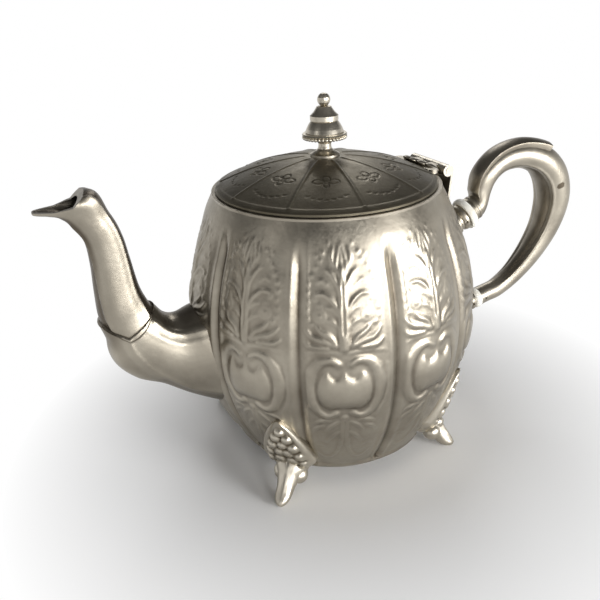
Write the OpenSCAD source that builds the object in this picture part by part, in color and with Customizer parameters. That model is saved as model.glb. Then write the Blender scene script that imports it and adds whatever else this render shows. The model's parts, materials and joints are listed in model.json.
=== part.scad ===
// Teapot with a lobed body, a swan-neck spout, a hinged lid and an insulated handle.
// Millimetres, +Z up, spout towards -X. Heights named *_z are above the bottom of the body.

/* [Body] */
// Radius over the widest place of the lobes
body_r = 69.2; // [64:0.2:74]
// Radius at the mouth
mouth_r = 52.6; // [51.6:0.2:55]
// Radius just above the bottom corner
bottom_r = 51.4; // [47:0.2:55]
// Height from the bottom of the body to its mouth
body_h = 124; // [118:1:130]
// Height of the widest place
belly_z = 64; // [56:1:70]
// Number of lobes
lobes = 10; // [10:4:14]
// Depth of the grooves between the lobes
groove_d = 2.4; // [1:0.1:3]
// Thickness of the body's sheet
wall = 1.2; // [0.8:0.1:1.6]
// Radius of the corner round the bottom
corner_r = 4; // [3:0.5:5]
// Inner radius of the flange that the bottom plate is soldered to
flange_inner_r = 40; // [34:1:42]
// Height of the body's bottom above the table
stand_h = 10; // [8:0.5:14]
// Thickness of the bottom plate
bottom_t = 1.2; // [0.8:0.1:2]
// Radius of a strainer hole
strainer_r = 1.8; // [1.2:0.1:2.2]
// Distance between strainer holes
strainer_pitch = 6; // [5:0.5:8]

/* [Relief] */
// Height of the raised ornament on a lobe
relief_h = 0.8; // [0.4:0.1:1.4]
// Half width of a raised line of the ornament
relief_w = 1; // [0.6:0.1:1.4]

/* [Lid] */
// Radius of the lid
lid_r = 50.8; // [49:0.2:51.6]
// Height of the dome above its rim
lid_rise = 11.7; // [9:0.1:14]
// Thickness of the lid's sheet
lid_wall = 1.2; // [0.8:0.1:1.6]
// Width of a raised rib on the lid
rib_w = 1.4; // [1:0.1:2]
// Height of a raised rib above the dome
rib_h = 0.5; // [0.3:0.1:1]
// Gap under the lid's rim when it is shut
lid_gap = 0.3; // [0.2:0.05:0.5]
// Thickness of the ring on the mouth that the lid seats on
ring_t = 1; // [0.8:0.1:1.4]
// Inner radius of the mouth ring
ring_inner_r = 47.4; // [46:0.2:48]
// Depth of the mouth ring's skirt
ring_skirt = 5; // [3:0.5:8]
// Clearance round the lid's flange in the mouth ring
flange_gap = 0.6; // [0.4:0.1:1]
// Depth of the lid's flange below the lid's rim
flange_depth = 5; // [3:0.5:6]
// Thickness of the lid's flange
flange_t = 1.1; // [0.8:0.1:1.6]

/* [Finial] */
// Radius of the finial's flared foot
finial_foot_r = 6.6; // [5:0.2:8]
// Height of the flared foot and its stem
finial_foot_h = 7.4; // [6:0.2:9]
// Radius of the stem
finial_stem_r = 2.9; // [2.5:0.1:3.5]
// Radius of the beaded disc
disc_r = 10.1; // [9:0.1:12]
// Thickness of the beaded disc
disc_t = 2.5; // [2:0.1:3]
// Radius of one bead
bead_r = 0.8; // [0.6:0.05:1]
// Number of beads
beads = 36; // [24:2:40]
// Radius of the cap at its bottom
cap_r = 8.5; // [7:0.1:9]
// Height of the cap
cap_h = 17.1; // [15:0.1:20]
// Radius of the stud
stud_r = 1.5; // [1:0.1:1.8]
// Width of the nut across its flats
nut_w = 6; // [5:0.5:7]
// Thickness of the nut
nut_t = 2.4; // [2:0.1:3]
// Radius of the washer
washer_r = 4.5; // [4:0.5:6]
// Thickness of the washer
washer_t = 0.8; // [0.5:0.1:1.2]

/* [Hinge] */
// Distance of the hinge axis outside the mouth's edge
hinge_out = 4.2; // [3.8:0.1:5]
// Height of the hinge axis above the body's mouth
hinge_up = 2; // [1.6:0.1:2.6]
// Outer radius of a knuckle
knuckle_r = 2.7; // [2.3:0.1:3]
// Length of the whole row of knuckles
hinge_w = 30; // [26:1:34]
// Gap between neighbouring knuckles
knuckle_gap = 0.3; // [0.2:0.05:0.5]
// Radius of the pin
pin_r = 1.4; // [1:0.1:1.5]
// Radial clearance of the pin in its knuckles
pin_gap = 0.05; // [0.03:0.01:0.08]
// Thickness of the back plate
plate_t = 1; // [0.8:0.1:1.4]
// Thickness of the lid's leaf
leaf_t = 1.8; // [1.4:0.1:2.2]
// Length of the lid's leaf along the hinge
leaf_w = 34; // [30:1:38]
// How far the leaf reaches over the lid from the hinge axis
leaf_reach = 11; // [9:0.5:14]

/* [Spout] */
// Thickness of the spout's wall
spout_wall = 1.3; // [1:0.1:1.6]
// How far the base section stands proud of the neck at their seam
collar_step = 0.7; // [0.3:0.1:1.2]

/* [Handle] */
// Thickness of the hollow handle's wall
handle_wall = 1.2; // [1:0.1:1.6]
// Radius of the upper insulator
upper_r = 8.6; // [8:0.1:9.2]
// Radius of the lower insulator
lower_r = 5.8; // [5.4:0.1:6.4]
// Visible thickness of an insulator
insulator_t = 3.6; // [3:0.1:4.4]
// Length of the tenons on an insulator
tenon_l = 5; // [4:0.5:6]
// Radius of the upper insulator's tenons
upper_tenon_r = 4; // [3.6:0.1:4.3]
// Radius of the lower insulator's tenons
lower_tenon_r = 3; // [2.6:0.1:3.2]
// Radius of a rivet
rivet_r = 0.8; // [0.6:0.1:1]
// Clearance of tenons and rivets in their holes
fit_gap = 0.03; // [0.02:0.01:0.06]
// Length of the handle's upper collar
upper_collar_l = 5.6; // [5.6:0.2:8]
// Length of the handle's lower collar
lower_collar_l = 5.6; // [5.6:0.2:8]
// Height of the thumb strip above the handle's surface, at its free end
strip_h = 2; // [1:0.1:2.4]

/* [Feet] */
// Distance of the toes under the spout from the pot's axis
spout_toe_out = 66.4; // [62:0.2:70]
// Distance of the toes under the handle from the pot's axis
handle_toe_out = 63; // [60:0.2:68]
// Direction of each foot, counted from the line through spout and handle
foot_angle = 44; // [40:1:50]
// Radius of the toe's rounded end
toe_r = 4; // [3:0.1:5]
// Height above the body's bottom that the foot's leaf reaches
leaf_top = 37; // [30:1:42]
// Half width of the foot's leaf, in degrees round the body
leaf_half = 12.5; // [9:0.5:15]
// How far the foot's leaf stands proud of the body
leaf_proud = 2.6; // [1.5:0.1:3.5]

/* [Hidden] */
$fn = 96;
solder = 0.05; // joint line between pieces that are soldered together
clear = 20; // extra length of a cutter past what it cuts

pewter = [0.62, 0.6, 0.55];
bright = [0.75, 0.73, 0.68];
ivory = [0.95, 0.95, 0.92];

// ---- curves ----

// Smooth step from 0 at a to 1 at b.
function ease(a, b, x) = let(t = min(max((x - a) / (b - a), 0), 1)) t * t * (3 - 2 * t);

// Catmull-Rom curve through b and c, with a and d as their neighbours.
function through(a, b, c, d, t) = 0.5 * (2 * b + (c - a) * t
    + (2 * a - 5 * b + 4 * c - d) * t * t + (3 * b - a - 3 * c + d) * t * t * t);

// The curve through all rows but the first and the last, which only steer its ends.
function curve(rows, steps) = [
    for (k = [1 : len(rows) - 3], i = [0 : k == len(rows) - 3 ? steps : steps - 1])
        through(rows[k - 1], rows[k], rows[k + 1], rows[k + 2], i / steps)
];

// Closed solid through rings of points, each with as many points, counted anticlockwise
// when they are seen from the end that the rings run towards.
module loft(rings) {
    n = len(rings[0]);
    m = len(rings);
    polyhedron(
        points = [for (ring = rings, p = ring) p],
        faces = concat(
            [[for (j = [0 : n - 1]) j]],
            [for (i = [0 : m - 2], j = [0 : n - 1])
                let(a = i * n + j, b = i * n + (j + 1) % n) [a, a + n, b + n]],
            [for (i = [0 : m - 2], j = [0 : n - 1])
                let(a = i * n + j, b = i * n + (j + 1) % n) [a, b + n, b]],
            [[for (j = [n - 1 : -1 : 0]) (m - 1) * n + j]]
        ),
        convexity = 6
    );
}

// Shell open at both ends: rings up its outside and down its inside, the last joins the first.
module loop_loft(rings) {
    n = len(rings[0]);
    m = len(rings);
    polyhedron(
        points = [for (ring = rings, p = ring) p],
        faces = [for (i = [0 : m - 1], j = [0 : n - 1], half = [0, 1])
            let(a = i * n, b = (i + 1) % m * n, k = (j + 1) % n)
                half == 0 ? [a + j, b + j, b + k] : [a + j, b + k, a + k]],
        convexity = 6
    );
}

// ---- body outline ----

// Barrel of the body: two parabolas that meet at its widest place.
function barrel_r(z) = z > belly_z
    ? body_r - (body_r - mouth_r) * pow((z - belly_z) / (body_h - belly_z), 2)
    : body_r - (body_r - bottom_r) * pow((belly_z - z) / (belly_z - corner_r), 2);

groove_fade = 14; // height over which the grooves run out under the mouth
groove_end = 5; // plain band under the mouth

// Depth of the grooves at a direction and a height: broad hollows with a narrow bottom.
function groove(angle, z) = let(s = abs(sin(lobes * angle / 2)))
    groove_d * (0.45 * pow(s, 2) + 0.55 * pow(s, 10))
    * (1 - ease(body_h - groove_end - groove_fade, body_h - groove_end, z)) * ease(0, corner_r, z);

// Directions of the points round the body: closer together at a groove, the first at a lobe.
lobe_angle = 360 / lobes;
lobe_shares = [0, 0.25, 0.39, 0.5, 0.61, 0.75];
body_angles = [for (k = [0 : lobes - 1], s = lobe_shares) (k + s) * lobe_angle];

function body_ring(r, z) = [for (a = body_angles)
    let(q = r - groove(a, z)) [q * cos(a), q * sin(a), z]];

barrel_steps = 13;
barrel_heights = [for (i = [0 : barrel_steps]) corner_r + (body_h - corner_r) * i / barrel_steps];
corner_steps = [0 : 30 : 60];
flat_r = bottom_r - corner_r; // where the flat bottom ends

// Rings up the outside of the body, offset outwards by extra.
function outer_rings(extra) = concat(
    [for (a = corner_steps) body_ring(flat_r + (corner_r + extra) * sin(a),
        corner_r - (corner_r + extra) * cos(a))],
    [for (z = barrel_heights) body_ring(barrel_r(z) + extra, z)]
);

// Everything inside the body's outer surface, to trim what is soldered to it.
module body_core() {
    loft(concat([body_ring(1, -solder)], outer_rings(solder)));
}

// The same without grooves, as a true surface of revolution.
module round_core() {
    rotate_extrude() polygon(concat(
        [[0, body_h], [0, corner_r]],
        [for (z = barrel_heights) [barrel_r(z) + solder, z]]
    ));
}

module stood() translate([pot_x, 0, stand_h]) children();

// ---- spout outline ----

// Mean radius of the lobed barrel, from which the spout and the handle are set out.
out_r = body_r - groove_d / 2;

// Each row: distance out from the mean barrel, height, tilt of the route above the level,
// half depth across the route in the middle plane, half width.
spout_rows = [
    [-22, 48, -6, 31, 22.5],
    [-12, 51.1, -6, 28, 19.9],
    [-1.8, 53.2, -6, 24.9, 17.4],
    [8, 55.6, -1, 20.1, 14.9],
    [16, 60.4, 9, 16.9, 13.8],
    [23.7, 66.9, 25, 16.3, 13.5],
    [28.1, 72.4, 40, 14.9, 12.8],
    [30.2, 80.1, 51, 12.7, 11.5],
    [32.1, 87.7, 58, 11.9, 10.9],
    [32.5, 96.4, 69, 10.3, 9.8],
    [32.6, 106, 81, 9, 8.8],
    [33.3, 115.5, 86, 8.4, 8.2],
    [35.5, 123, 73, 8.1, 8.1],
    [40.3, 130.5, 58, 8, 8],
    [46, 132.2, 38, 5, 7.1],
    [51.5, 132.3, 25, 2.6, 5.2],
    [56.6, 132.1, 15, 1.2, 2.5],
    [58.2, 132, 14, 0.5, 0.9],
    [59.2, 131.9, 14, 0.3, 0.5]
];
seam_row = 6; // the row where the base section meets the neck
spout_steps = 3;

// Half outline of the section: share of the half depth, share of the half width.
spout_half = [[1, 0], [0.96, 0.4], [0.8, 0.72], [0.42, 0.93], [0, 1],
    [-0.42, 0.93], [-0.78, 0.74], [-0.93, 0.4], [-1, 0]];
spout_outline = concat(spout_half, [for (i = [len(spout_half) - 2 : -1 : 1])
    [spout_half[i][0], -spout_half[i][1]]]);

// Ring of the spout at a row, grown by extra.
function spout_ring(row, extra) = [for (p = spout_outline)
    let(depth = max(row[3] + extra, row[3] / 6) * p[0], width = max(row[4] + extra, row[4] / 6) * p[1])
        [-(out_r + row[0]) + depth * sin(row[2]), width, row[1] + depth * cos(row[2])]];

spout_route = curve(spout_rows, spout_steps);
seam_at = (seam_row - 1) * spout_steps; // the step of the route at the seam
base_route = slice(spout_route, 0, seam_at);

function slice(rows, first, last) = [for (i = [first : last]) rows[i]];

// ---- handle outline ----

// Each row: distance out from the mean barrel, height, direction of the route, radius.
upper_at = [11.7, 97]; // middle of the upper insulator
upper_tilt = 28;
lower_at = [22.2, 46]; // middle of the lower insulator
lower_tilt = 12;

function along(at, tilt, s) = [at[0] + s * cos(tilt), at[1] + s * sin(tilt)];

upper_end = insulator_t / 2 + upper_collar_l;
lower_end = insulator_t / 2 + lower_collar_l;
upper_start = along(upper_at, upper_tilt, upper_end);
lower_start = along(lower_at, lower_tilt, lower_end);
handle_rows = [
    [upper_at[0], upper_at[1], upper_tilt - 16, 6.2],
    [upper_start[0], upper_start[1], upper_tilt, 6],
    [19.9, 108, 73, 5.6],
    [22.5, 115.2, 68, 6.1],
    [28.3, 120.8, 41, 6.3],
    [36.1, 123.6, 9, 6.6],
    [45.6, 123.4, -14, 7.3],
    [56.4, 119.3, -34, 8.5],
    [64.5, 111.5, -57, 9.2],
    [68.6, 101.5, -80, 9.3],
    [68.8, 91.2, -98, 8.8],
    [65.3, 79.2, -116, 7.8],
    [57.5, 66.6, -129, 6.7],
    [47.3, 56, -141, 5.7],
    [36.6, 49.4, -156, 5.3],
    [lower_start[0], lower_start[1], lower_tilt - 180, 5.1],
    [lower_at[0], lower_at[1], lower_tilt - 180, 5.1]
];
handle_steps = 3;
handle_route = curve(handle_rows, handle_steps);
handle_angles = [0, 22, 45, 67, 90, 112, 135, 158, 180];

// Point beside the route: r away from it, turned by angle from the outer side of the bend.
function beside(row, r, angle) = [
    out_r + row[0] - r * cos(angle) * sin(row[2]),
    r * sin(angle),
    row[1] + r * cos(angle) * cos(row[2])
];

// Section of one half of the hollow handle, side -1 on the left and 1 on the right.
function half_ring(row, side) = concat(
    [for (a = handle_angles) beside(row, row[3], side * a)],
    [for (i = [len(handle_angles) - 1 : -1 : 0])
        beside(row, row[3] - handle_wall, side * handle_angles[i])]
);

function reversed(list) = [for (i = [len(list) - 1 : -1 : 0]) list[i]];

// The pot stands with the middle of its length over the origin.
handle_end_x = max([for (row = handle_route) beside(row, row[3], 0)[0]]);
spout_end_x = min([for (row = spout_route, p = spout_ring(row, 0)) p[0]]);
pot_x = -(handle_end_x + spout_end_x) / 2;

// ---- relief on the lobes ----

relief_sunk = 0.6; // depth to which the ornament is joined into the body's sheet

// Right halves of the ornament's lines, as shares of half a lobe's width and of the body's height.
stem = [[0, 0.589], [0, 0.75], [0, 0.93]];
branches = [
    [[0.04, 0.766], [0.234, 0.843], [0.384, 0.865]],
    [[0.065, 0.677], [0.234, 0.774], [0.524, 0.785]]
];
flames = [[[0.12, 0.577], [0.3, 0.63], [0.45, 0.666]], [[0.17, 0.571], [0.45, 0.587], [0.75, 0.62]]];
scroll = [[0.11, 0.513], [0.3, 0.534], [0.524, 0.503], [0.627, 0.435], [0.59, 0.36],
    [0.393, 0.308], [0.178, 0.306]];
heart = [[0, 0.344], [0.15, 0.345], [0.4, 0.352], [0.515, 0.394], [0.51, 0.43], [0.34, 0.485],
    [0.19, 0.455], [0.075, 0.465], [0, 0.487]];
heart_middle = 0.41;

// Sideways and up in millimetres from shares.
function on_panel(at, side) = [side * at[0] * PI * out_r / lobes, at[1] * body_h];

// Point of a lobe: at[0] sideways from its crest and at[1] up, h above its surface.
function on_lobe(crest, at, h) = let(a = crest + at[0] / out_r * 180 / PI,
    q = barrel_r(at[1]) - groove(a, at[1]) + h) [q * cos(a), q * sin(a), at[1]];

function heading(from, to) = atan2(to[1] - from[1], to[0] - from[0]);

// Raised line through points, its half width going from w to w * taper.
module raised_line(crest, points, w, taper) {
    last = len(points) - 1;
    loft([for (i = [0 : last]) let(
        turn = heading(points[max(i - 1, 0)], points[min(i + 1, last)]),
        half = w * (1 - (1 - taper) * i / last)
    ) [for (e = [[1, -relief_sunk], [0.6, relief_h], [-0.6, relief_h], [-1, -relief_sunk]])
        on_lobe(crest, [points[i][0] - half * e[0] * sin(turn),
            points[i][1] + half * e[0] * cos(turn)], e[1])]]);
}

// Low dome over the heart's outline.
module raised_heart(crest) {
    right = [for (p = heart) on_panel(p, 1)];
    left = [for (i = [len(heart) - 2 : -1 : 1]) on_panel(heart[i], -1)];
    middle = [0, heart_middle * body_h];
    loft([for (s = [[1, -relief_sunk], [0.98, 0.4 * relief_h], [0.85, relief_h], [0.35, 1.3 * relief_h]])
        [for (p = concat(right, left)) on_lobe(crest, middle + s[0] * (p - middle), s[1])]]);
}

// The ornament of one lobe.
module relief(crest) {
    raised_line(crest, [for (p = stem) on_panel(p, 1)], relief_w, 0.6);
    raised_heart(crest);
    for (side = [-1, 1]) {
        for (line = branches) raised_line(crest, [for (p = line) on_panel(p, side)], relief_w, 0.5);
        for (line = flames) raised_line(crest, [for (p = line) on_panel(p, side)], 1.4 * relief_w, 0.4);
        raised_line(crest, [for (p = scroll) on_panel(p, side)], relief_w, 1);
    }
}

// ---- body ----

module body_shell() color(pewter) stood() difference() {
    union() {
        shell();
        // The lobes under the spout and the handle's joints stay plain.
        for (k = [1 : lobes - 1]) if (k != lobes / 2) relief(k * lobe_angle);
    }
    strainer_holes();
}

module shell() loop_loft(concat(
    [body_ring(flange_inner_r, 0)],
    outer_rings(0),
    [for (z = reversed(barrel_heights)) body_ring(barrel_r(z) - wall, z)],
    [for (a = [60 : -30 : 0]) body_ring(flat_r + (corner_r - wall) * sin(a),
        corner_r - (corner_r - wall) * cos(a))],
    [body_ring(flange_inner_r, wall)]
));

// Rows of holes behind the spout, kept inside an upright oval.
module strainer_holes() {
    oval = [9, 13];
    for (row = [-2 : 2], hole = [-1 : 1]) {
        y = (hole + (row % 2 == 0 ? 0 : 0.5)) * strainer_pitch;
        z = row * strainer_pitch * sin(60);
        if (pow(y / oval[0], 2) + pow(z / oval[1], 2) < 1)
            translate([-body_r - wall, y, spout_rows[2][1] + z]) rotate([0, 90, 0])
                cylinder(r = strainer_r, h = groove_d + 4 * wall, $fn = 24);
    }
}

module bottom_plate() color(pewter) stood()
    translate([0, 0, wall]) cylinder(r = flat_r - 0.5, h = bottom_t);

module mouth_ring() color(bright) stood() {
    difference() {
        union() {
            translate([0, 0, body_h]) cylinder(r = mouth_r, h = ring_t);
            translate([0, 0, body_h - ring_skirt])
                cylinder(r = mouth_r - wall - 0.4, h = ring_skirt + ring_t / 2);
        }
        translate([0, 0, body_h - ring_skirt - clear])
            cylinder(r = ring_inner_r, h = ring_skirt + ring_t + 2 * clear);
    }
}

// ---- lid ----

rim_z = body_h + ring_t + lid_gap; // underside of the lid's rim
rim_t = 1; // upright edge of the lid
dome_r = (lid_r * lid_r + lid_rise * lid_rise) / (2 * lid_rise);
dome_z = rim_z + rim_t + lid_rise - dome_r; // centre of the dome's sphere
lid_top = dome_z + dome_r;

module lid_space(r, extra) intersection() {
    translate([0, 0, dome_z]) sphere(r = dome_r + extra, $fn = 200);
    translate([0, 0, rim_z]) cylinder(r = r, h = 3 * lid_rise);
}

// Ribs over the dome, one for each groove of the body, grown by extra.
module ribs(extra) for (k = [0 : lobes - 1]) intersection() {
    lid_space(lid_r - 1.5 + extra, rib_h + extra);
    rotate((k + 0.5) * lobe_angle) translate([finial_foot_r + 2, -rib_w / 2 - extra, rim_z + rim_t])
        cube([lid_r, rib_w + 2 * extra, 2 * lid_rise]);
}

module lid_dome() color(pewter) stood() difference() {
    union() {
        lid_space(lid_r, 0);
        ribs(0);
    }
    translate([0, 0, dome_z]) sphere(r = dome_r - lid_wall, $fn = 200);
    translate([0, 0, lid_top - clear]) cylinder(r = stud_r + fit_gap, h = 2 * clear, $fn = 32);
}

flange_r = ring_inner_r - flange_gap;

module lid_flange() color(pewter) stood() intersection() {
    difference() {
        translate([0, 0, rim_z - flange_depth]) cylinder(r = flange_r, h = flange_depth + lid_rise);
        translate([0, 0, rim_z - flange_depth - 1])
            cylinder(r = flange_r - flange_t, h = flange_depth + lid_rise + 2);
    }
    translate([0, 0, dome_z]) sphere(r = dome_r - lid_wall, $fn = 200);
}

// ---- finial ----

foot_top = lid_top + finial_foot_h;
disc_top = foot_top + disc_t;

module stud_hole() translate([0, 0, -clear]) cylinder(r = stud_r + fit_gap, h = 3 * clear, $fn = 32);

module finial_foot() color(pewter) stood() difference() {
    translate([0, 0, lid_top]) rotate_extrude() polygon([
        [0, -1.5], [finial_foot_r, -1.5], [finial_foot_r, 0.7], [finial_foot_r * 0.85, 1.4],
        [finial_foot_r * 0.6, 2.2], [finial_stem_r + 0.3, 3.1], [finial_stem_r, 4],
        [finial_stem_r, 5.4], [finial_stem_r + 1.2, finial_foot_h - 0.7],
        [finial_stem_r + 1.4, finial_foot_h], [0, finial_foot_h]
    ]);
    translate([0, 0, dome_z]) sphere(r = dome_r, $fn = 200);
    translate([0, 0, lid_top]) stud_hole();
}

module finial_disc() color(bright) stood() translate([0, 0, foot_top]) difference() {
    union() {
        rotate_extrude() polygon([
            [0, 0], [disc_r - 2.6 * bead_r, 0], [disc_r - bead_r, 2 * bead_r * 0.8],
            [disc_r, disc_t - 0.5], [disc_r - 0.4, disc_t], [0, disc_t]
        ]);
        for (k = [0 : beads - 1]) rotate(k * 360 / beads)
            translate([disc_r - bead_r, 0, bead_r]) sphere(r = bead_r, $fn = 24);
    }
    stud_hole();
}

module finial_cap() color(bright) stood() translate([0, 0, disc_top]) difference() {
    rotate_extrude() polygon(concat(
        [[0, 0], [cap_r, 0], [cap_r + 0.1, 0.6]],
        [for (t = [0.2 : 0.2 : 1]) [cap_r - (cap_r - 5.9) * t, 0.6 + 4.8 * pow(t, 0.7)]],
        [[6.3, 5.6], [6.3, 7.6], [5.8, 8]],
        [for (t = [0.25 : 0.25 : 1]) [5.8 - 2.6 * pow(t, 0.8), 8 + 3.4 * t]],
        [[2.4, 11.6]],
        [for (a = [-60 : 20 : 80]) [2.9 * cos(a), cap_h - 2.9 + 2.9 * sin(a)]],
        [[0, cap_h]]
    ));
    translate([0, 0, -1]) cylinder(r = stud_r + fit_gap, h = stud_in_cap + 1, $fn = 32);
}

stud_in_cap = 6;
washer_z = dome_z + sqrt(pow(dome_r - lid_wall, 2) - pow(washer_r, 2)) - washer_t;
stud_z = washer_z - nut_t - 1;

module finial_stud() color(bright) stood() translate([0, 0, stud_z])
    cylinder(r = stud_r, h = disc_top + stud_in_cap - stud_z, $fn = 32);

module finial_washer() color(bright) stood() translate([0, 0, washer_z]) difference() {
    cylinder(r = washer_r, h = washer_t, $fn = 48);
    stud_hole();
}

module finial_nut() color(bright) stood() translate([0, 0, washer_z - nut_t]) difference() {
    cylinder(r = nut_w / 2 / cos(30), h = nut_t, $fn = 6);
    stud_hole();
}

// ---- hinge ----

hinge_x = mouth_r + hinge_out;
hinge_z = body_h + hinge_up;
knuckles = 5; // odd, the body holds the outer ones
knuckle_l = (hinge_w - (knuckles - 1) * knuckle_gap) / knuckles;
leaf_z = hinge_z + 0.3; // underside of the leaf where it leaves the lid

function knuckle_y(k) = -hinge_w / 2 + k * (knuckle_l + knuckle_gap);

// Rod along the hinge axis from y, l long.
module rod(r, y, l) translate([hinge_x, y, hinge_z]) rotate([-90, 0, 0]) cylinder(r = r, h = l, $fn = 48);

module pin_bore() rod(pin_r + pin_gap, -hinge_w, 2 * hinge_w);

module hinge_plate() color(pewter) stood() difference() {
    union() {
        for (k = [0 : 2 : knuckles - 1]) rod(knuckle_r, knuckle_y(k), knuckle_l);
        plate_body();
    }
    pin_bore();
    for (k = [1 : 2 : knuckles - 1])
        rod(knuckle_r + knuckle_gap, knuckle_y(k) - knuckle_gap, knuckle_l + 2 * knuckle_gap);
    round_core();
}

// Upright sheet that leans in a little towards the shoulder.
module plate_body() {
    drop = 17;
    lean = 1.6;
    x = hinge_x + knuckle_r;
    translate([0, hinge_w / 2, 0]) rotate([90, 0, 0]) linear_extrude(hinge_w)
        polygon([[x, hinge_z], [x - plate_t, hinge_z],
            [x - plate_t - lean, hinge_z - drop], [x - lean, hinge_z - drop]]);
}

module hinge_leaf() color(bright) stood() difference() {
    union() {
        translate([0, 0, leaf_z]) linear_extrude(leaf_t) leaf_outline();
        intersection() {
            translate([0, 0, rim_z]) linear_extrude(leaf_z - rim_z + leaf_t / 2) leaf_outline();
            translate([0, 0, rim_z]) cylinder(r = lid_r, h = lid_rise);
        }
        for (k = [1 : 2 : knuckles - 1]) {
            rod(knuckle_r, knuckle_y(k), knuckle_l);
            translate([hinge_x - leaf_reach / 2, knuckle_y(k), leaf_z])
                cube([leaf_reach / 2, knuckle_l, leaf_t]);
        }
    }
    translate([0, 0, dome_z]) sphere(r = dome_r + solder, $fn = 200);
    ribs(solder);
    for (k = [0 : 2 : knuckles - 1])
        rod(knuckle_r + knuckle_gap, knuckle_y(k) - knuckle_gap, knuckle_l + 2 * knuckle_gap);
    pin_bore();
}

// Bar with round ends along the lid's edge and three scallops behind it.
module leaf_outline() {
    bar = 4.6;
    x = hinge_x - leaf_reach + bar / 2;
    translate([x - bar / 2, -leaf_w / 2 + bar / 2]) square([bar, leaf_w - bar]);
    for (side = [-1, 1]) translate([x, side * (leaf_w - bar) / 2]) circle(d = bar, $fn = 32);
    for (side = [-1, 0, 1]) translate([x + 1, side * leaf_w / 4]) circle(r = leaf_w / 7.6, $fn = 40);
}

module hinge_pin() color(bright) stood() rod(pin_r, -hinge_w / 2 - 0.2, hinge_w + 0.4);

// ---- handle joints ----

// Puts children on a handle joint: their +Z runs out along it from the insulator's middle.
module on_joint(at, tilt) translate([out_r + at[0], 0, at[1]]) rotate([0, 90 - tilt, 0]) children();
module on_upper() on_joint(upper_at, upper_tilt) children();
module on_lower() on_joint(lower_at, lower_tilt) children();

face = insulator_t / 2;
rivet_s = face + tenon_l / 2;
upper_socket_r = 6.8;
lower_socket_r = 5.2;
socket_l = 30; // long enough to reach into the body, where it is trimmed

module rivet_bores(r) for (s = [-rivet_s, rivet_s])
    translate([0, 0, s]) rotate([90, 0, 0])
        cylinder(r = rivet_r + fit_gap, h = 4 * r, center = true, $fn = 24);

module rivets(r) for (s = [-rivet_s, rivet_s])
    translate([0, 0, s]) rotate([90, 0, 0])
        cylinder(r = rivet_r, h = 2 * r - 0.6, center = true, $fn = 24);

module tenon_hole(r, side) translate([0, 0, side > 0 ? 0 : -face - tenon_l - 0.5])
    cylinder(r = r + fit_gap, h = face + tenon_l + 0.5);

module insulator(r, tenon) difference() {
    union() {
        rotate_extrude() polygon(concat([[0, -face]],
            [for (a = [-60 : 20 : 60]) [r - 1.2 + 1.2 * cos(a), face * sin(a) / sin(60)]], [[0, face]]));
        translate([0, 0, -face - tenon_l]) cylinder(r = tenon, h = 2 * (face + tenon_l));
    }
    rivet_bores(r);
}

// Turned rings of the sockets and collars, as radii along the joint.
module upper_socket() color(pewter) stood() difference() {
    on_upper() difference() {
        rotate_extrude() polygon([
            [0, -socket_l], [6.4, -socket_l], [6.2, -11], [6.9, -10.2], [7.2, -8.8], [6.9, -7.4],
            [6, -6.6], [6, -5.6], [6.6, -5], [7.2, -3.8], [7.1, -2.6], [upper_socket_r, -face],
            [0, -face]
        ]);
        tenon_hole(upper_tenon_r, -1);
        rivet_bores(upper_r);
    }
    round_core();
}

module lower_socket() color(pewter) stood() difference() {
    on_lower() difference() {
        rotate_extrude() polygon([
            [0, -socket_l], [8.4, -socket_l], [8.4, -21], [7.2, -18.6], [5.8, -14], [4.9, -9],
            [4.8, -5.4], [5.4, -4.6], [5.6, -3.4], [lower_socket_r, -face], [0, -face]
        ]);
        tenon_hole(lower_tenon_r, -1);
        rivet_bores(lower_r);
    }
    round_core();
}

module upper_insulator() color(ivory) stood() on_upper() insulator(upper_r, upper_tenon_r);
module lower_insulator() color(ivory) stood() on_lower() insulator(lower_r, lower_tenon_r);

module handle_collar() color(pewter) stood() on_upper() difference() {
    rotate_extrude() polygon([
        [0, face], [6.8, face], [7, face + 0.8], [6.8, face + 1.6], [6.3, face + 2.2],
        [6.3, face + 2.6], [6.6, face + 3.2], [6.6, face + 4], [6.1, face + 4.6],
        [6, upper_end], [0, upper_end]
    ]);
    tenon_hole(upper_tenon_r, 1);
    rivet_bores(upper_r);
}

module lower_collar() color(pewter) stood() on_lower() difference() {
    rotate_extrude() polygon([[0, face], [5.2, face], [5.1, lower_end], [0, lower_end]]);
    tenon_hole(lower_tenon_r, 1);
    rivet_bores(lower_r);
}

module insulator_rivets() color(bright) stood() {
    on_upper() rivets(upper_socket_r - 0.2);
    on_lower() rivets(lower_socket_r - 0.2);
}

// ---- handle ----

module handle_left() color(pewter) stood() loft([for (row = handle_route) half_ring(row, -1)]);

module handle_right() color(pewter) stood()
    loft([for (row = handle_route) reversed(half_ring(row, 1))]);

strip_angles = [-45, -22, 0, 22, 45];
strip_first = handle_steps; // the part of the handle's route that the strip covers
strip_last = 6 * handle_steps;

module thumb_strip() color(bright) stood() loft([
    for (i = [strip_first : strip_last]) let(row = handle_route[i]) concat(
        [for (a = strip_angles) beside(row, row[3] + solder, a)],
        [for (a = reversed(strip_angles))
            let(side = row[3] * sin(a), rise = strip_h * (0.5 + 0.5 * i / strip_last),
                top = row[3] + rise * (0.85 + 0.15 * cos(2 * a)))
                [out_r + row[0] - top * sin(row[2]), side, row[1] + top * cos(row[2])]]
    )
]);

// ---- spout ----

module spout_base() color(pewter) stood() difference() {
    loft([for (row = base_route) spout_ring(row, collar_step * ease(10, 28, row[0]))]);
    loft([for (row = slice(spout_route, 0, seam_at + 1)) spout_ring(row, -spout_wall)]);
    body_core();
}

// Side view of what is cut away to open the mouth: its back, its corner and the beak's edge.
mouth_back = [37.3, 138.3];
mouth_corner = [43, 133.3];
mouth_tip = [60, 131.9];

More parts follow.
